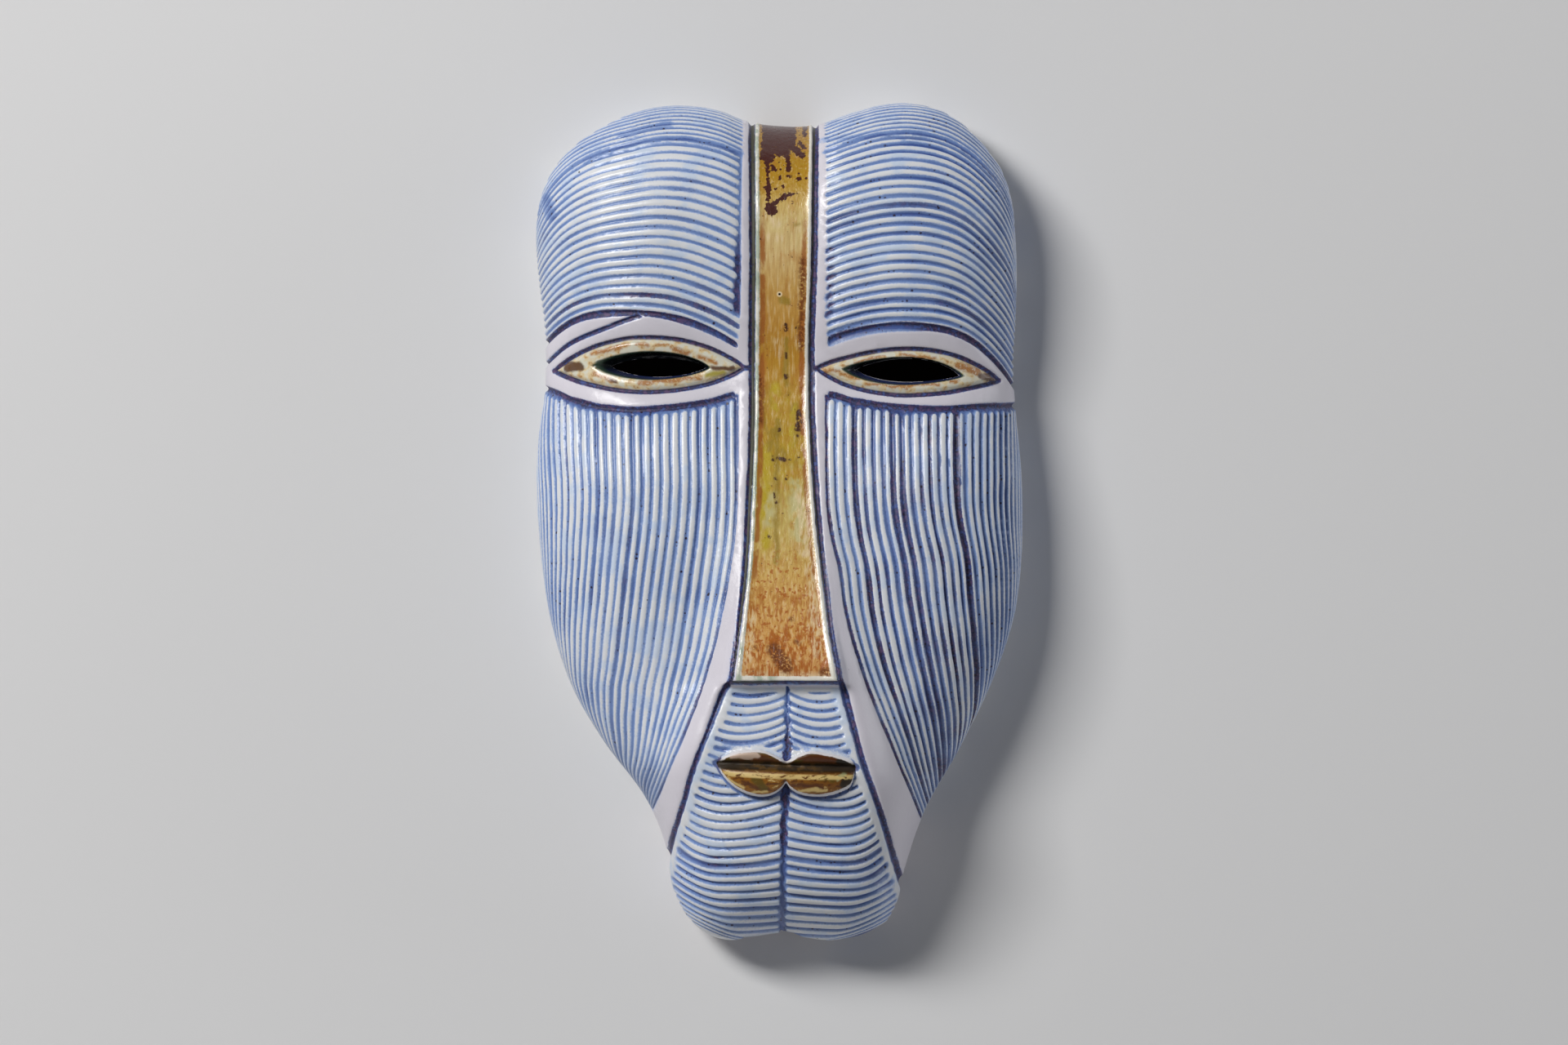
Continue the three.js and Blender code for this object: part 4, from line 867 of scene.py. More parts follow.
def gridFaces(start, down, across, flipped):
    numbers = start + np.arange(down * across).reshape(down, across)
    topLeft, topRight = numbers[:-1, :-1].ravel(), numbers[:-1, 1:].ravel()
    lowLeft, lowRight = numbers[1:, :-1].ravel(), numbers[1:, 1:].ravel()
    faces = np.concatenate([
        np.column_stack([topLeft, lowLeft, lowRight]), np.column_stack([topLeft, lowRight, topRight])])
    return faces[:, ::-1] if flipped else faces


def ringFaces(front, back):
    frontNext, backNext = np.roll(front, -1), np.roll(back, -1)
    return np.concatenate([
        np.column_stack([front, frontNext, backNext]), np.column_stack([front, backNext, back])])


# Joins a fine ring to a coarser one that has a point for every few of its own
def taperFaces(fine, coarse, every):
    coarseNext = np.roll(coarse, -1)
    half = every // 2
    faces = [np.column_stack([fine[half::every], coarseNext, coarse])]
    fineNext = np.roll(fine, -1)
    for offset in range(every):
        target = coarse if offset < half else coarseNext
        faces.append(np.column_stack([fine[offset::every], fineNext[offset::every], target]))
    return np.concatenate(faces)


rings = [border] + [starts[1 + row] + np.arange(len(border)) for row in range(skirtRows)]
walls = [starts[1 + skirtRows + row] + np.arange(len(insideBorder)) for row in range(len(wallShares))]
walls.append(starts[-2] + insideBorder)
glazedFaces = [gridFaces(0, down, across, False)]
glazedFaces += [ringFaces(front, back) for front, back in zip(rings[:-2], rings[1:-1])]
bareFaces = [ringFaces(rings[-2], rings[-1]), taperFaces(rings[-1], walls[0], every)]
bareFaces += [ringFaces(front, back) for front, back in zip(walls, walls[1:])]
bareFaces.append(gridFaces(starts[-2], insideDown, insideAcross, True))
glazedCount = sum(len(faces) for faces in glazedFaces)
triangles = np.concatenate(glazedFaces + bareFaces)


# What the glaze needs to know about each point: its value on the face, down the side and elsewhere
def overAll(field, onSkirt, elsewhere):
    skirtTotal = len(border) * skirtRows
    skirt = np.concatenate(onSkirt) if isinstance(onSkirt, list) else np.full(skirtTotal, onSkirt)
    rest = len(points) - down * across - skirtTotal
    return np.concatenate([field.ravel(), skirt, np.full(rest, elsewhere)])


def downSkirt(field):
    return [atBorder(field)] * skirtRows


def clipped(field):
    return np.clip(field, -fieldReach, fieldReach)


fieldReach, stripReach = 20, 9
stripField = np.where(combed < 0.5, -1, np.clip(combGap, -stripReach, stripReach))
pointFields = {
    "cut": overAll(np.where(ruled >= combCut, cut, cut + outlineBlue), skirtCuts, 0),
    "ink": overAll(ink, skirtInks, 0),
    "band": overAll(clipped(bandGap), downSkirt(bandGap), -fieldReach),
    "eye": overAll(clipped(eyeGap), -fieldReach, -fieldReach),
    "slit": overAll(np.clip(slitShare, 0, fieldReach), fieldReach, fieldReach),
    "lip": overAll(np.where(inMuzzle, clipped(lipGap), -fieldReach), -fieldReach, -fieldReach),
    "mouth": overAll(clipped(mouthGap), fieldReach, fieldReach),
    "strip": overAll(np.where(inMuzzle, 1, stripField), downSkirt(combGap), stripReach),
}


def newMesh(name, points, triangles):
    mesh = bpy.data.meshes.new(name)
    mesh.vertices.add(len(points))
    mesh.vertices.foreach_set("co", (points * millimetre).astype(np.float32).ravel())
    mesh.loops.add(len(triangles) * 3)
    mesh.loops.foreach_set("vertex_index", triangles.astype(np.int32).ravel())
    mesh.polygons.add(len(triangles))
    mesh.polygons.foreach_set("loop_start", np.arange(0, len(triangles) * 3, 3, dtype=np.int32))
    mesh.update(calc_edges=True)
    return mesh


def newObject(name, mesh):
    thing = bpy.data.objects.new(name, mesh)
    bpy.context.scene.collection.objects.link(thing)
    return thing


maskMesh = newMesh("combedMask", points, triangles)
for name, values in pointFields.items():
    maskMesh.attributes.new(name, "FLOAT", "POINT").data.foreach_set("value", values.astype(np.float32))
mask = newObject("combedMask", maskMesh)
print("fine mesh", len(points), "points", len(triangles), "triangles")

# Cutters: a lens-shaped bar through each eye, and the notch for a nail inside the top
notch = {"width": 10, "front": -8, "back": 4, "top": -1.2, "tall": 12}
slitBar = {"front": -76, "back": -18, "steps": 20}


def prismMesh(shape, front, back):
    count = len(shape)
    numbers = np.arange(count)
    fan = np.column_stack([np.zeros(count - 2, int), numbers[2:], numbers[1:-1]])
    faces = np.concatenate([ringFaces(numbers, numbers + count), fan, fan[:, ::-1] + count])
    return np.concatenate([atY(shape, front), atY(shape, back)]), faces


def slitShape(side):
    lens = eyes[side]["slit"]
    share = np.linspace(0, 1, slitBar["steps"])
    x = mix(*lens["tips"], share)
    axis = mix(*lens["axis"], share)
    swell = lensSwell("slit", share)
    upper, lower = (np.column_stack([x, axis + (lens[end] - axis) * swell]) for end in ("top", "bottom"))
    return np.concatenate([upper, lower[-2:0:-1]])


def cutterMesh():
    half, top, low = notch["width"] / 2, notch["top"], notch["top"] - notch["tall"]
    box = np.array([(-half, top), (half, top), (half, low), (-half, low)])
    shapes = [(slitShape("left"), slitBar), (slitShape("right"), slitBar), (box, notch)]
    prisms = [prismMesh(shape, reach["front"], reach["back"]) for shape, reach in shapes]
    starts = np.cumsum([0] + [len(places) for places, _ in prisms])
    return newMesh("cutter", np.concatenate([places for places, _ in prisms]),
                   np.concatenate([faces + start for (_, faces), start in zip(prisms, starts)]))


cutter = newObject("cutter", cutterMesh())


# A slot's finish comes from the tool that cut it, so the slits get dark glaze, painted near black as shade of
# the hole, and the notch bare clay
def cutAway(thing, tool):
    step = thing.modifiers.new("cut", "BOOLEAN")
    step.operation = "DIFFERENCE"
    step.solver = "MANIFOLD"
    step.material_mode = "TRANSFER"
    step.object = tool


def thinOut(thing, triangleCount):
    step = thing.modifiers.new("thin", "DECIMATE")
    step.decimate_type = "COLLAPSE"
    step.ratio = min(1, triangleCount / len(thing.data.polygons))
    step.use_collapse_triangulate = True


# Keeps what the modifiers make as the piece's own mesh
def settle(thing):
    graph = bpy.context.evaluated_depsgraph_get()
    made = bpy.data.meshes.new_from_object(
        thing.evaluated_get(graph), preserve_all_data_layers=True, depsgraph=graph)
    made.name = thing.name
    thing.modifiers.clear()
    thing.data = made


def newMaterial(name):
    material = bpy.data.materials.new(name)
    material.use_nodes = True
    material.node_tree.nodes.clear()
    return material


glaze, bareClay, darkGlazeAndShade = (newMaterial(name) for name in ("combedGlaze", "bareClay", "darkGlazeAndShade"))
for finish in (glaze, bareClay, darkGlazeAndShade):
    maskMesh.materials.append(finish)
finishOf = np.zeros(len(triangles), np.int32)
finishOf[glazedCount:] = 1
maskMesh.polygons.foreach_set("material_index", finishOf)
for finish in (darkGlazeAndShade, bareClay):
    cutter.data.materials.append(finish)
notchLow = -0.03
for face in cutter.data.polygons:
    face.material_index = 1 if face.center.z > notchLow else 0

cutAway(mask, cutter)
settle(mask)
print("slits and notch cut", len(mask.data.polygons), [finish.name for finish in mask.data.materials])
thinOut(mask, shell["triangles"])
settle(mask)
bpy.data.objects.remove(cutter)
for face in mask.data.polygons:
    face.use_smooth = True
print("thinned to", len(mask.data.polygons), "triangles")


# Shader helpers. A value may be a number, a colour or another node's output. A node goes into the tree that
# feeds it, so a tree is named only where nothing does.
def connect(made, inputs):
    for name, value in inputs.items():
        if isinstance(value, bpy.types.NodeSocket):
            made.id_data.links.new(value, made.inputs[name])
        else:
            made.inputs[name].default_value = value


def addNode(kind, settings, inputs, tree=None):
    feeding = [value.id_data for value in inputs.values() if isinstance(value, bpy.types.NodeSocket)]
    made = (tree or feeding[0]).nodes.new("ShaderNode" + kind)
    for name, value in settings.items():
        setattr(made, name, value)
    connect(made, inputs)
    return made


def calc(operation, *values):
    return addNode("Math", {"operation": operation}, dict(enumerate(values))).outputs[0]


def times(*values):
    product = values[0]
    for value in values[1:]:
        product = calc("MULTIPLY", product, value)
    return product


# A value made uneven by noise
def unevenly(value, grain, amount):
    return calc("ADD", value, times(calc("SUBTRACT", grain, 0.5), amount))


# 0 below low and 1 above high, or the other way round where low is the larger
def ease(value, low, high):
    ends = {"Value": value, "From Min": low, "From Max": high}
    return addNode("MapRange", {"interpolation_type": "SMOOTHSTEP"}, ends).outputs["Result"]


# 1 near a value and 0 beyond a width from it
def near(value, middle, width):
    return ease(calc("ABSOLUTE", calc("SUBTRACT", value, middle)), width, width * 0.35)


def blend(mask, under, over):
    return addNode("Mix", {"data_type": "RGBA"}, {0: mask, 6: under, 7: over}).outputs[2]


# A palette's colours laid over one another, each where its mask is
def layered(colours, under, layers):
    for mask, name in layers:
        under = blend(mask, under, colours[name])
    return under


def vectorCalc(operation, *values):
    made = addNode("VectorMath", {"operation": operation}, dict(enumerate(values)))
    return made.outputs["Value" if operation in ("DOT_PRODUCT", "DISTANCE", "LENGTH") else "Vector"]


def scaled(value, by):
    return addNode("VectorMath", {"operation": "SCALE"}, {0: value, "Scale": by}).outputs[0]


def axisOf(place, axis):
    return addNode("SeparateXYZ", {}, {0: place}).outputs[axis]


def noise(place, size, detail=2, stretch=None):
    place = vectorCalc("MULTIPLY", place, stretch) if stretch else place
    return addNode("TexNoise", {}, {"Vector": place, "Scale": 1 / size, "Detail": detail}).outputs["Fac"]


# Colours as they look on a screen, from 0 to 255, turned into the light that a shader works in
def paint(*levels):
    shares = [level / 255 for level in levels]
    return (*(share / 12.92 if share < 0.0404 else ((share + 0.055) / 1.055) ** 2.4 for share in shares), 1)


def palette(**colours):
    return {name: paint(*levels) for name, levels in colours.items()}


def newGroup(name, inputs, outputs):
    group = bpy.data.node_groups.new(name, "ShaderNodeTree")
    for label, kind, value in inputs:
        socket = group.interface.new_socket(name=label, in_out="INPUT", socket_type="NodeSocket" + kind)
        if value is not None:
            socket.default_value = value
    for label, kind in outputs:
        group.interface.new_socket(name=label, in_out="OUTPUT", socket_type="NodeSocket" + kind)
    return group, group.nodes.new("NodeGroupInput").outputs, group.nodes.new("NodeGroupOutput")


def useGroup(group, inputs, tree=None):
    return addNode("Group", {"node_tree": group}, inputs, tree).outputs


# Place on the mask in millimetres, shifted about by noise so that what is painted there has soft, loose edges
def loosePlaceGroup():
    group, given, made = newGroup(
        "loosePlace", [("Wander", "Float", 1), ("Size", "Float", 6)],
        [("Place", "Vector"), ("Still", "Vector")])
    still = scaled(addNode("TexCoord", {}, {}, group).outputs["Object"], 1 / millimetre)
    scale = calc("DIVIDE", 1, given["Size"])
    drift = addNode("TexNoise", {}, {"Vector": still, "Scale": scale, "Detail": 3}).outputs["Color"]
    moved = scaled(vectorCalc("SUBTRACT", drift, (0.5, 0.5, 0.5)), given["Wander"])
    connect(made, {"Place": vectorCalc("ADD", still, moved), "Still": still})
    return group


# A run or a spot of glaze: 1 within Width of the line between two places seen from the front
def glazeDripGroup():
    group, given, made = newGroup("glazeDrip", [
        ("Place", "Vector", None), ("From", "Vector", None), ("To", "Vector", None),
        ("Width", "Float", 1), ("Softness", "Float", 0.5)], [("Mask", "Float")])
    reach = vectorCalc("SUBTRACT", vectorCalc("MULTIPLY", given["Place"], (1, 0, 1)), given["From"])
    whole = vectorCalc("SUBTRACT", given["To"], given["From"])
    share = calc("DIVIDE", vectorCalc("DOT_PRODUCT", reach, whole), vectorCalc("DOT_PRODUCT", whole, whole))
    share = calc("MINIMUM", calc("MAXIMUM", share, 0), 1)
    inside = calc("SUBTRACT", given["Width"], vectorCalc("DISTANCE", reach, scaled(whole, share)))
    connect(made, {"Mask": ease(calc("DIVIDE", inside, given["Softness"]), -0.5, 0.5)})
    return group


# Small dark pits and flecks that iron leaves in a glaze, scattered evenly
def ironFlecksGroup():
    group, given, made = newGroup(
        "ironFlecks", [("Place", "Vector", None), ("Spacing", "Float", 2), ("Size", "Float", 0.25)],
        [("Mask", "Float")])
    scale = calc("DIVIDE", 1, given["Spacing"])
    cells = addNode("TexVoronoi", {"feature": "F1"}, {"Vector": given["Place"], "Scale": scale}).outputs
    gap = times(cells["Distance"], given["Spacing"])
    radius = times(given["Size"], addNode("SeparateColor", {}, {"Color": cells["Color"]}).outputs[0])
    mask = calc("DIVIDE", calc("SUBTRACT", radius, gap), radius)
    connect(made, {"Mask": ease(mask, 0, 0.45)})
    return group


loosePlace = loosePlaceGroup()
glazeDrip = glazeDripGroup()
ironFlecks = ironFlecksGroup()


# The runs and spots in a table of (x, z, x, z, width) in millimetres, seen from the front
def drips(place, runs, softness):
    total = 0
    for x, z, toX, toZ, width in runs:
        spot = useGroup(glazeDrip, {
            "Place": place, "From": (x, 0, z), "To": (toX, 0, toZ), "Width": width, "Softness": softness})
        total = calc("MAXIMUM", total, spot["Mask"])
    return total


def flecked(place, spacing, size):
    return useGroup(ironFlecks, {"Place": place, "Spacing": spacing, "Size": size})["Mask"]


glazeColours = palette(
    ridge=(220, 222, 226), ridgeBlue=(200, 212, 230), strip=(214, 210, 219), pale=(158, 178, 218),
    cobalt=(112, 138, 190), deepCobalt=(70, 94, 156), inkBlue=(70, 90, 156), violet=(86, 66, 104),
    navy=(58, 62, 112), deepNavy=(46, 46, 80), oliveBlack=(68, 67, 54), fleck=(46, 36, 56),
    pinhole=(20, 18, 22))
bandColours = palette(
    maroon=(74, 38, 32), ochre=(176, 136, 40), oliveGold=(150, 124, 44), rust=(156, 92, 40),
    amber=(178, 120, 48), darkRust=(118, 66, 30), umber=(74, 46, 30), straw=(188, 164, 50),
    sage=(196, 188, 136), orangeRust=(168, 90, 26), lightBlock=(226, 202, 160), rim=(228, 224, 212),
    rimGreen=(176, 186, 168), pinhole=(20, 18, 22))
bandTones = [                   # down the band: height, then colour
    (0, 160, 118, 30), (-13, 182, 140, 38), (-22, 206, 176, 98), (-30, 214, 192, 130), (-41, 214, 186, 126),
    (-52, 200, 160, 88), (-66, 192, 144, 62), (-79, 184, 138, 46), (-92, 186, 148, 58), (-106, 184, 148, 44),
    (-118, 188, 160, 56), (-132, 200, 180, 102), (-146, 206, 176, 96), (-158, 212, 170, 94),
    (-180, 210, 156, 84), (-188, 206, 154, 90), (-191, 224, 202, 164),
]

# Runs, spots and stains on the band
bandRuns = [
    (-4.6, 9, -4.9, -6.2, 2.4), (-0.8, 9, -0.8, -2.6, 3.2), (3.2, 9, 3.2, -1.8, 2), (1.8, -3, 2.3, -10.2, 1),
    (4.4, -3, 7.2, -5.2, 1.25), (8.4, 6, 8, 2, 0.8), (-4.9, -8, -4.8, -21, 0.6),
    (-4.8, -17.4, -4.8, -17.5, 1.1), (-3.9, -24.5, -3.8, -24.7, 2.25), (-3, -23.2, 1.6, -20, 1),
    (1.6, -20, 5.2, -18.8, 0.55), (5.6, -14, 6.4, -13.7, 0.7), (-0.6, -13.4, -0.4, -13.6, 0.6),
    (-2.2, -17.2, -2.1, -17.4, 0.45), (3, -13, 3, -13.2, 0.4), (6.6, -1, 7.6, -2.4, 0.7),
    (-3, -9, -2.6, -10.8, 0.6), (0.4, -16.2, 0.5, -17, 0.4),
]
bandUmber = [
    (6.3, -96.4, 6, -102.6, 0.95), (5.9, -105.2, 6, -105.4, 0.4), (-1.2, -102.6, -1, -103.4, 0.5),
    (1.5, -65.4, 1.5, -67.6, 0.55), (5.4, -66.8, 5.9, -66.9, 0.4), (1.5, -76.2, 1.6, -77.2, 0.45),
    (1.7, -83.6, 1.8, -84.6, 0.45), (-3, -113.4, -2.6, -113.6, 0.5), (-0.8, -113.2, 1.2, -113.8, 0.7),
    (3, -113.8, 3.2, -113.8, 0.4), (5.9, -112.8, 6.1, -112.8, 0.35), (-2, -120.4, -1.9, -121, 0.35),
    (1.4, -120.6, 1.8, -120.8, 0.4), (-2.6, -125.8, -2.4, -126.8, 0.5), (-2.2, -128.4, -2.1, -128.8, 0.45),
    (-4.8, -140.8, -4.3, -141.2, 0.55),
]
bandOlive = [
    (1.5, -71, 1.6, -87, 0.9), (-1.6, -100, -1.9, -150, 0.9), (-5.6, -112, -4, -108, 1.6),
    (4.6, -95, 4.2, -96, 1.2), (4.4, -30.4, 6.4, -30.2, 0.5), (0.2, -57, 1.6, -57.4, 1.4),
]
bandStraw = [(-5.6, -110, -5.8, -144, 2), (3, -94, 2.6, -108, 2), (-2, -88, -2.4, -98, 1.6)]
bandSage = [(4.4, -118, 6, -142, 2.4), (-4, -124, -4.6, -136, 1.6)]
bandRust = [
    (-2.6, -181, 1.6, -187, 2.6), (14.2, -188.6, 16.4, -189, 1.3), (3.4, -170.2, 3.9, -170.4, 0.6),
    (5, -178.4, 6, -178.6, 0.7), (-9.4, -180, -9.2, -180.2, 0.5), (7.6, -43, 7, -74, 1.1),
    (-7.6, -84, -7.4, -100, 0.9),
]
bandLight = [
    (5.4, -71, 7.6, -74, 1.2), (-1.8, -72, -1, -76, 0.9), (-6.2, -27, -1, -30, 1), (-6, -34.4, 0, -35, 1.1),
    (5, -31.6, 6, -32, 0.9), (0.4, -190.4, 2.4, -190.6, 1), (7.4, -126, 8.6, -146, 2.4),
    (10, -150, 12.6, -182, 1.8), (-10.4, -166, -11.6, -184, 1.2),
]
pinhole = (-0.75, -54.9, -0.7, -54.9)


def combedColour(place, fields, smear):
    grain, cloud, stain = noise(place, 0.7), noise(place, 9), noise(place, 1.6, 3)
    pooled = calc("ADD", unevenly(fields["cut"], grain, 0.3), times(smear, 0.3))
    ridge = layered(glazeColours, glazeColours["ridge"], [
        (ease(cloud, 0.46, 0.66), "ridgeBlue"),
        (ease(fields["strip"], 0.9, -0.2), "strip"),
    ])
    colour = layered(glazeColours, ridge, [
        (ease(pooled, 0.1, 0.32), "pale"),
        (ease(pooled, 0.24, 0.54), "cobalt"),
        (ease(pooled, 0.6, 0.98), "deepCobalt"),
    ])
    dark = layered(glazeColours, glazeColours["navy"], [
        (ease(pooled, 0.4, 0.9), "deepNavy"),
        (ease(stain, 0.5, 0.62), "violet"),
        (times(ease(stain, 0.46, 0.36), 0.7), "inkBlue"),
    ])
    dark = blend(ease(pooled, 0.16, 0.4), ridge, dark)
    colour = blend(ease(unevenly(fields["ink"], cloud, 0.5), 0.1, 0.85), colour, dark)
    besideBand = calc("SUBTRACT", fields["band"], times(ease(axisOf(place, "X"), -3, 3), 0.7))
    flecks = times(flecked(place, 1.6, 0.7), ease(pooled, 0.3, 0.6), ease(noise(place, 5), 0.42, 0.56))
    return layered(glazeColours, colour, [
        (times(ease(besideBand, -1.55, -1.1), ease(pooled, 0.3, 0.6)), "oliveBlack"),
        (flecks, "fleck"),
        (times(flecked(place, 14, 0.55), 0.9), "pinhole"),
    ])


def colourByHeight(z, tones):
    top, low = tones[0][0], tones[-1][0]
    share = calc("DIVIDE", calc("SUBTRACT", z, top), float(low - top))
    made = addNode("ValToRGB", {}, {"Fac": share})
    spots = made.color_ramp.elements
    while len(spots) < len(tones):
        spots.new(0.5)
    for spot, (height, *levels) in zip(spots, tones):
        spot.position = (height - top) / (low - top)
        spot.color = paint(*levels)
    return made.outputs["Color"]


def bandColour(still, place, band):
    x, z = axisOf(place, "X"), axisOf(place, "Z")
    strokes = noise(still, 0.8, 2, (1, 1, 0.08))
    broad = noise(still, 3.2, 4, (1, 1, 0.5))
    speckle = noise(still, 0.9, 3)
    gold = times(ease(z, -84, -94), ease(z, -118, -112))
    warmEdge = times(ease(band, 6, 1.4), ease(z, -34, -56), ease(z, -112, -86))
    rusted = calc("ADD", times(strokes, 0.45), times(broad, 0.6))
    rusted = times(ease(z, -146, -180), ease(rusted, 0.5, 0.62))
    blotches = times(ease(noise(still, 1.5, 3), 0.54, 0.66), ease(z, -140, -156))
    edgeStain = times(near(band, 2.5, 1.3), ease(broad, 0.34, 0.5), ease(z, -22, -36), ease(z, -170, -150))
    runs = unevenly(unevenly(drips(place, bandRuns, 1.8), speckle, 1.9), broad, 0.9)
    dots = times(flecked(still, 2.2, 0.7), ease(z, -24, -14))
    colour = layered(bandColours, colourByHeight(z, bandTones), [
        (times(ease(strokes, 0.4, 0.75), 0.36), "rust"),
        (times(ease(strokes, 0.5, 0.25), 0.45), "lightBlock"),
        (times(ease(broad, 0.5, 0.68), 0.4), "amber"),
        (times(ease(z, -25, -15), ease(speckle, 0.42, 0.62)), "ochre"),
        (times(gold, ease(broad, 0.42, 0.58), 0.7), "oliveGold"),
        (times(drips(place, bandOlive, 1.6), 0.75), "oliveGold"),
        (times(warmEdge, ease(broad, 0.36, 0.6), 0.7), "amber"),
        (times(drips(place, bandStraw, 3), ease(broad, 0.38, 0.56)), "straw"),
        (times(drips(place, bandSage, 3), ease(broad, 0.62, 0.44), 0.8), "sage"),
        (times(calc("MAXIMUM", rusted, blotches), 0.85), "orangeRust"),
        (times(edgeStain, 0.85), "rust"),
        (times(drips(place, bandLight, 2.6), ease(strokes, 0.62, 0.4), 0.7), "lightBlock"),
        (times(drips(place, bandRust, 2.2), ease(speckle, 0.36, 0.52)), "darkRust"),
        (times(drips(place, bandUmber, 0.7), ease(speckle, 0.34, 0.44)), "umber"),
        (calc("MAXIMUM", ease(runs, 0.36, 0.6), dots), "maroon"),
        (drips(still, [(*pinhole, 0.95)], 0.3), "lightBlock"),
        (drips(still, [(*pinhole, 0.42)], 0.2), "pinhole"),
    ])
    wide = calc("ADD", 1.35, times(ease(z, -160, -190), 0.5))
    onRim = ease(calc("SUBTRACT", unevenly(band, speckle, 0.7), wide), 0.25, -0.25)
    leftRim = times(ease(x, 0, -4), ease(broad, 0.4, 0.6))
    return blend(onRim, colour, blend(leftRim, bandColours["rim"], bandColours["rimGreen"]))


# black is painted shade, for where the bevel and the slit walls go into the hole
eyeColours = palette(
    rim=(216, 196, 154), rimWhite=(214, 211, 194), rust=(164, 106, 46), brown=(92, 62, 42),
    olive=(166, 154, 74), green=(44, 62, 48), black=(10, 14, 14), lowBlue=(34, 42, 74))
eyeRust = [
    (-67.5, -76, -57.5, -74.2, 0.8), (-51.4, -72.8, -47.5, -73, 0.6), (-44.6, -73, -40, -73.2, 0.5),
    (-38.8, -74, -33.6, -75.6, 0.75), (-29.5, -76.8, -23.4, -79.2, 0.7), (-66.6, -82.9, -60, -85.4, 0.9),
    (-50, -86.6, -29, -84.4, 0.8), (42.6, -76.5, 54.5, -77.6, 0.6), (-64, -74.8, -54, -72.6, 0.6),
    (26, -79.4, 36, -76.8, 0.5), (30, -86.4, 44, -88, 0.6), (62.5, -79.8, 70, -82.6, 1.3),
    (21.4, -83.2, 27, -84.6, 0.7), (42, -87.4, 56, -86.6, 0.6), (60, -85.8, 62.4, -85.6, 0.9),
    (14.6, -81.6, 21, -82.4, 0.5),
]
eyeBrown = [
    (-76, -80.6, -71.8, -80.4, 1.7), (-24.2, -81.2, -17.6, -81.2, 0.9), (71.2, -84, 75, -84.6, 1.3),
    (-60.8, -84.9, -58.6, -86, 0.6),
]
eyeOlive = [(-26.4, -83.4, -20.6, -83, 0.9)]


def eyeColour(place, slit):
    mottle, speckle = noise(place, 2.6, 4), noise(place, 0.8, 3)
    broken = calc("ADD", 0.45, times(ease(speckle, 0.34, 0.5), 0.55))
    rust = calc("MAXIMUM", drips(place, eyeRust, 1.2), ease(mottle, 0.56, 0.74))
    colour = layered(eyeColours, eyeColours["rimWhite"], [
        (ease(mottle, 0.42, 0.6), "rim"),
        (times(rust, broken, 0.9), "rust"),
        (drips(place, eyeOlive, 1.6), "olive"),
        (times(drips(place, eyeBrown, 1), 0.95), "brown"),
        (ease(slit, 1.3, 0.9), "green"),
    ])
    # Into the slit the bevel turns near black above, where it faces down into the hole, which is painted
    # shade; below it stays deep blue
    bevel = blend(ease(axisOf(place, "Z"), -84.5, -80), eyeColours["lowBlue"], eyeColours["black"])
    return blend(ease(slit, 0.95, 0.55), colour, bevel)


lipColours = palette(
    amber=(104, 56, 2), ochre=(142, 90, 10), olive=(88, 70, 2), rust=(82, 38, 2), cream=(218, 190, 122),
    pink=(192, 168, 150), white=(226, 222, 222), greenish=(170, 172, 124), umber=(84, 58, 14),
    black=(40, 26, 4), darkest=(18, 20, 14))
lipPatches = [
    ("rust", [(-8, -219, -4, -220.4, 1.2), (5, -218.4, 19, -220.2, 1),
              (-14, -227.4, -8, -229.8, 0.7), (4, -228.6, 14, -229.4, 0.7)], 1.4),
    ("pink", [(-17, -218.4, -9, -218.4, 1.3)], 0.8),
    ("olive", [(3, -218.4, 8, -217.8, 0.5), (-9.4, -226.4, -6, -229.6, 1.4),
               (14, -226.4, 18, -227, 0.8)], 1.2),
    ("cream", [(-19, -226.4, -13.4, -230, 0.5), (6, -231, 16, -230.4, 0.6),
               (-10, -231.2, -5, -231, 0.4)], 0.9),
    ("greenish", [(19.8, -226.6, 22.4, -225, 0.7)], 0.8),
    ("darkest", [(20.6, -220.6, 23, -221.2, 1), (-21.4, -222.2, -14, -223, 1),
                 (21.6, -228.6, 25, -226.4, 1.3)], 1),
]


def lipColour(place, lip, mouth):
    mottle = noise(place, 3.4, 3)
    streaks = noise(place, 1, 3, (0.3, 1, 1))
    lower = ease(mouth, 0, -1.5)
    rightward = axisOf(place, "X")
    # A painted highlight: a cream line along the lower lip just under the mouth
    paintedHighlight = times(near(mouth, -3.1, 1.1), ease(streaks, 0.66, 0.48), 0.95)
    edge = calc("SUBTRACT", unevenly(lip, streaks, 0.7), times(lower, 0.6))
    colour = layered(lipColours, lipColours["amber"], [
        (ease(mottle, 0.42, 0.6), "olive"),
        (lower, "ochre"),
        (times(ease(streaks, 0.5, 0.66), 0.85), "rust"),
        (times(ease(rightward, 2, 16), 0.35), "rust"),
        (times(ease(streaks, 0.4, 0.28), lower, 0.8), "cream"),
        *((times(drips(place, patches, softness), 0.9), name) for name, patches, softness in lipPatches),
        (paintedHighlight, "cream"),
        (ease(edge, 1.25, 0.85), "white"),
    ])
    corner = ease(calc("ABSOLUTE", rightward), 9, 17)
    cleft = layered(lipColours, lipColours["umber"], [(ease(mottle, 0.4, 0.6), "black"), (corner, "black")])
    return blend(near(mouth, -0.3, 2.3), colour, cleft)


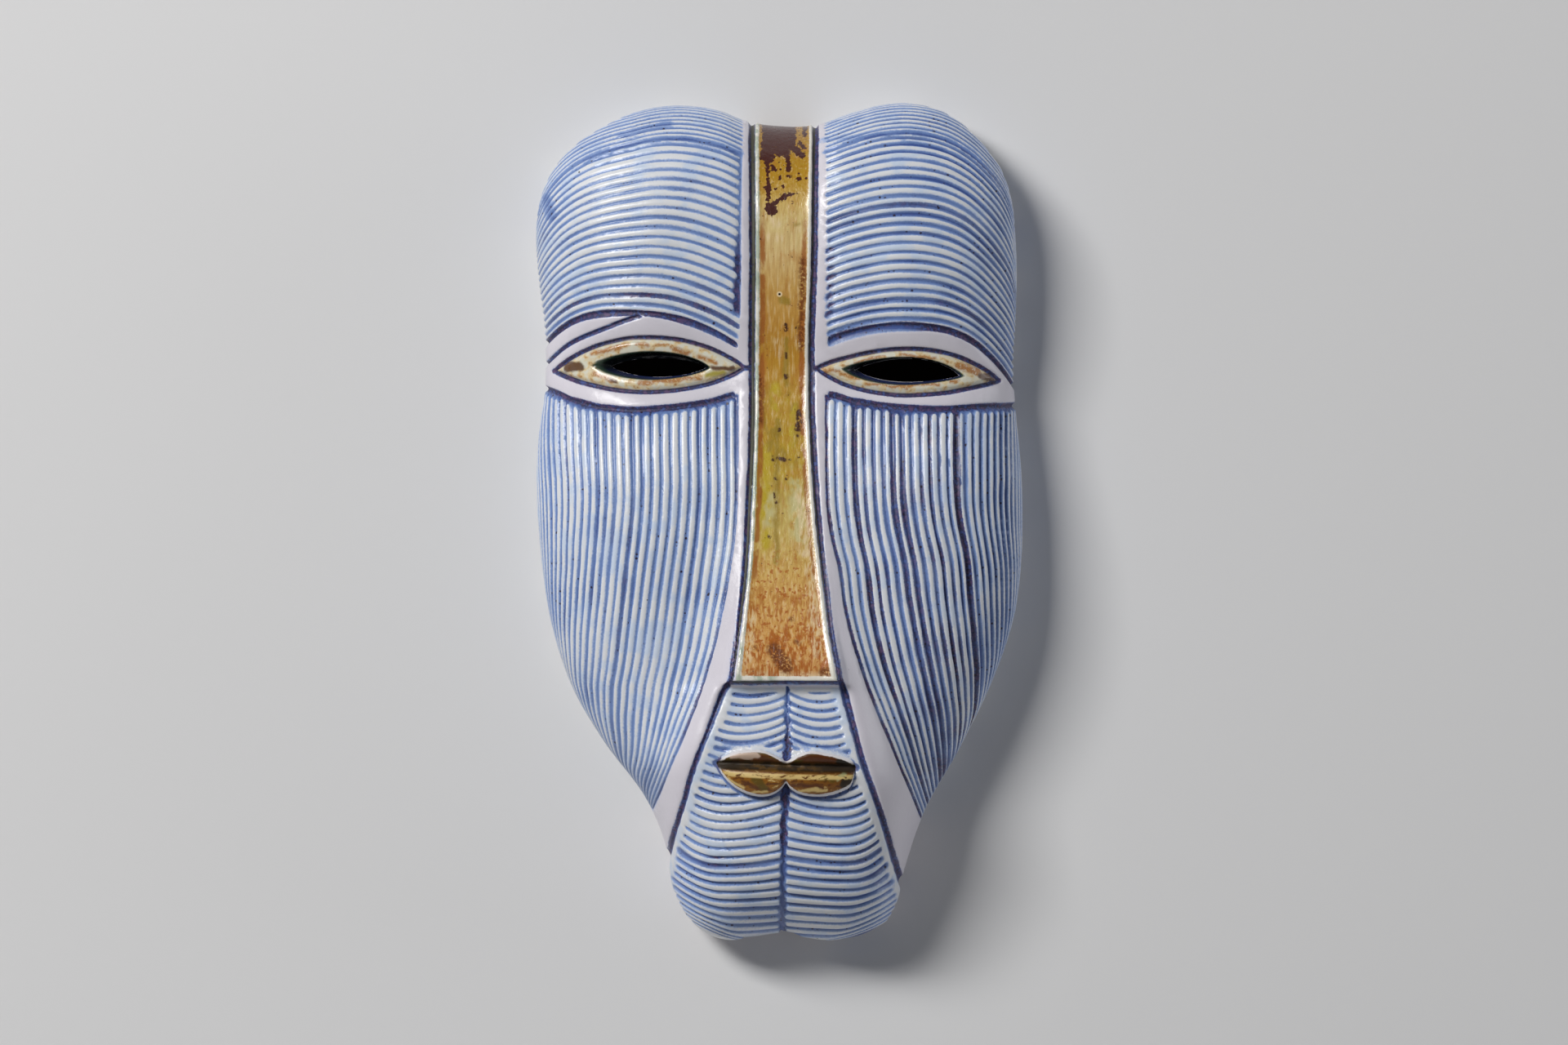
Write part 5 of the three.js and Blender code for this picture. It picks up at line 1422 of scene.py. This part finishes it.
# A pale blue smear or two where the glaze was touched while wet
blueSmears = [
    (-14, -4.6, -34, 0.4, 0.5), (-34, 0.4, -52, -0.8, 0.5), (-52, -0.8, -70, -7.8, 0.4),
    (13.4, 0.2, 36, 1.9, 0.5), (36, 1.9, 58, -3.4, 0.4), (-57, 1.6, -40, 6, 1.1),
    (-83.6, -20.5, -82, -27, 1.5), (-20, -215.4, -3, -213.8, 1.1), (5, -213.4, 9, -216, 1.3),
    (12, -215, 24, -217, 0.9),
]


def finishWith(colour, roughness, more):
    surface = addNode("BsdfPrincipled", {}, {"Base Color": colour, "Roughness": roughness, **more})
    addNode("OutputMaterial", {}, {"Surface": surface.outputs[0]})


def bumped(height, strength, distance):
    made = addNode("Bump", {}, {"Height": height, "Strength": strength, "Distance": distance})
    return made.outputs["Normal"]


def finishGlaze():
    tree = glaze.node_tree
    spots = useGroup(loosePlace, {"Wander": 2.6, "Size": 3.5}, tree)
    place, still = spots["Place"], spots["Still"]
    fields = {
        name: addNode("Attribute", {"attribute_name": name}, {}, tree).outputs["Fac"] for name in pointFields}
    cut, ink, band, eye, slit, lip, mouth = list(fields.values())[:7]
    onBand = times(ease(band, -0.15, 0.25), ease(cut, 0.5, 0.3))
    onEye, onLip = ease(eye, 0.5, 1), ease(lip, -0.1, 0.25)
    colour = combedColour(still, fields, drips(place, blueSmears, 2.8))
    colour = blend(onBand, colour, bandColour(still, place, band))
    colour = blend(onEye, colour, eyeColour(place, slit))
    colour = blend(onLip, colour, lipColour(place, lip, mouth))
    glossy = calc("MAXIMUM", onBand, calc("MAXIMUM", onEye, onLip))
    inked = times(ease(cut, 0.5, 1), ease(ink, 0.4, 0.8))
    roughness = calc("ADD", 0.24, times(noise(still, 6, 3), 0.2))
    for mask, change in ((glossy, -0.08), (onLip, 0.16), (inked, 0.25)):
        roughness = calc("ADD", roughness, times(mask, change))
    brushed = times(noise(still, 1.6, 4, (1, 1, 0.3)), onBand, 0.35)
    height = calc("ADD", times(noise(still, 1.4, 3), 0.12), brushed)
    finishWith(colour, roughness, {"Normal": bumped(height, 0.6, millimetre), "IOR": 1.5})


clayColours = palette(clay=(134, 108, 86), darker=(104, 82, 64), grog=(66, 50, 40))


def finishClay():
    still = useGroup(loosePlace, {"Wander": 0, "Size": 5}, bareClay.node_tree)["Still"]
    grain = noise(still, 0.9, 2)
    colour = layered(clayColours, clayColours["clay"], [
        (ease(noise(still, 18, 4), 0.38, 0.62), "darker"),
        (times(flecked(still, 2.6, 0.6), 0.8), "grog"),
    ])
    finishWith(colour, calc("ADD", 0.72, times(grain, 0.2)), {"Normal": bumped(grain, 0.5, millimetre * 0.3)})


# The slit walls: near black mottled with green, dark glaze with painted shade of the hole
def finishDark():
    still = useGroup(loosePlace, {"Wander": 0, "Size": 5}, darkGlazeAndShade.node_tree)["Still"]
    mottle = ease(noise(still, 2.4, 3), 0.4, 0.65)
    colour = blend(mottle, eyeColours["black"], eyeColours["green"])
    finishWith(colour, calc("ADD", 0.3, times(mottle, 0.2)), {})


finishGlaze()
finishClay()
finishDark()
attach(mask, "root")
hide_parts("mask")
print("glazed")

studio = {
    "viewWidth": 559.8, "viewCentre": (0.87, -135.98), "lens": 300, "sensor": 36,
    "scaleDepth": 20,           # the photo's scale holds this far in front of the wall
    "wallWidth": 3.2, "wallTop": 1.1, "wallGap": 0.0006, "floorDrop": 2.2, "floorReach": 6, "roughness": 0.85,
    "wallColour": paint(221, 221, 222), "floorColour": paint(228, 227, 224),
    # the dark oval on the wall behind the hollow is painted shade
    "shade": {"halfWidth": 0.078, "halfHeight": 0.118, "middle": -0.122, "colour": paint(6, 6, 8)},
    "lights": {
        "key": {"turn": 36, "rise": 26.5, "distance": 2.9, "size": (1.22, 0.62), "power": 73},
        "fill": {"turn": -83, "rise": 8, "distance": 2.2, "size": (1, 1.4), "power": 10},
        "back": {"turn": 205, "rise": 35, "distance": 3, "size": (1.6, 1.6), "power": 16},
    },
    "lightColours": {"key": (1, 0.99, 0.97), "fill": (0.96, 0.98, 1), "back": (1, 1, 1)},
    "skyColour": paint(196, 202, 216), "skyStrength": 0.118,
}
viewX, viewZ = (middle * millimetre for middle in studio["viewCentre"])


def panel(name, corners, colour):
    mesh = bpy.data.meshes.new(name)
    mesh.from_pydata(corners, [], [(0, 1, 2, 3)])
    thing = newObject(name, mesh)
    finish = newMaterial(name)
    mesh.materials.append(finish)
    looks = {"Base Color": colour, "Roughness": studio["roughness"]}
    return thing, addNode("BsdfPrincipled", {}, looks, finish.node_tree)


# The wall is clear from behind, and a dark oval painted on it is painted shade that keeps the hollow behind
# the slits dark
def buildWall(half, low, high):
    behind = studio["wallGap"]
    corners = [(-half, behind, low), (half, behind, low), (half, behind, high), (-half, behind, high)]
    wall, surface = panel("wall", corners, studio["wallColour"])
    wall.visible_shadow = False
    tree = surface.id_data
    shade = studio["shade"]
    where = addNode("TexCoord", {}, {}, tree).outputs["Object"]
    oval = vectorCalc("MULTIPLY", where, (1 / shade["halfWidth"], 0, 1 / shade["halfHeight"]))
    reach = vectorCalc("LENGTH", vectorCalc("SUBTRACT", oval, (0, 0, shade["middle"] / shade["halfHeight"])))
    connect(surface, {"Base Color": blend(ease(reach, 1, 0.85), studio["wallColour"], shade["colour"])})
    backing = addNode("NewGeometry", {}, {}, tree).outputs["Backfacing"]
    clear = addNode("BsdfTransparent", {}, {}, tree).outputs[0]
    shown = addNode("MixShader", {}, {0: backing, 1: surface.outputs[0], 2: clear}).outputs[0]
    addNode("OutputMaterial", {}, {"Surface": shown})


def buildFloor(half, low):
    corners = [(-half, -half, low), (half, -half, low), (half, half, low), (-half, half, low)]
    surface = panel("floor", corners, studio["floorColour"])[1]
    addNode("OutputMaterial", {}, {"Surface": surface.outputs[0]})


def softLight(name, given):
    light = bpy.data.lights.new(name, "AREA")
    light.shape = "RECTANGLE"
    light.size, light.size_y = given["size"]
    light.energy = given["power"]
    light.color = studio["lightColours"][name]
    thing = newObject(name + "Light", light)
    turn, rise, distance = math.radians(given["turn"]), math.radians(given["rise"]), given["distance"]
    thing.location = (
        -math.sin(turn) * math.cos(rise) * distance, -math.cos(turn) * math.cos(rise) * distance,
        math.sin(rise) * distance + viewZ)
    toMask = mask.location - thing.location
    toMask.z += viewZ
    thing.rotation_euler = toMask.to_track_quat("-Z", "Y").to_euler()


def buildStudio():
    buildWall(studio["wallWidth"] / 2, -studio["floorDrop"], studio["wallTop"])
    buildFloor(studio["floorReach"], -studio["floorDrop"])
    for name, given in studio["lights"].items():
        softLight(name, given)
    world = bpy.data.worlds.new("paleRoom")
    world.use_nodes = True
    sky = world.node_tree.nodes["Background"]
    connect(sky, {"Color": studio["skyColour"], "Strength": studio["skyStrength"]})
    bpy.context.scene.world = world


def buildCamera():
    lens = bpy.data.cameras.new("camera")
    lens.lens = studio["lens"]
    lens.sensor_width = studio["sensor"]
    lens.clip_end = 60
    distance = studio["lens"] * studio["viewWidth"] / studio["sensor"] + studio["scaleDepth"]
    thing = newObject("camera", lens)
    thing.location = (viewX, -distance * millimetre, viewZ)
    thing.rotation_euler = (math.pi / 2, 0, 0)
    bpy.context.scene.camera = thing


buildStudio()
buildCamera()
bpy.context.scene.view_settings.view_transform = "Standard"
print("studio and camera set")
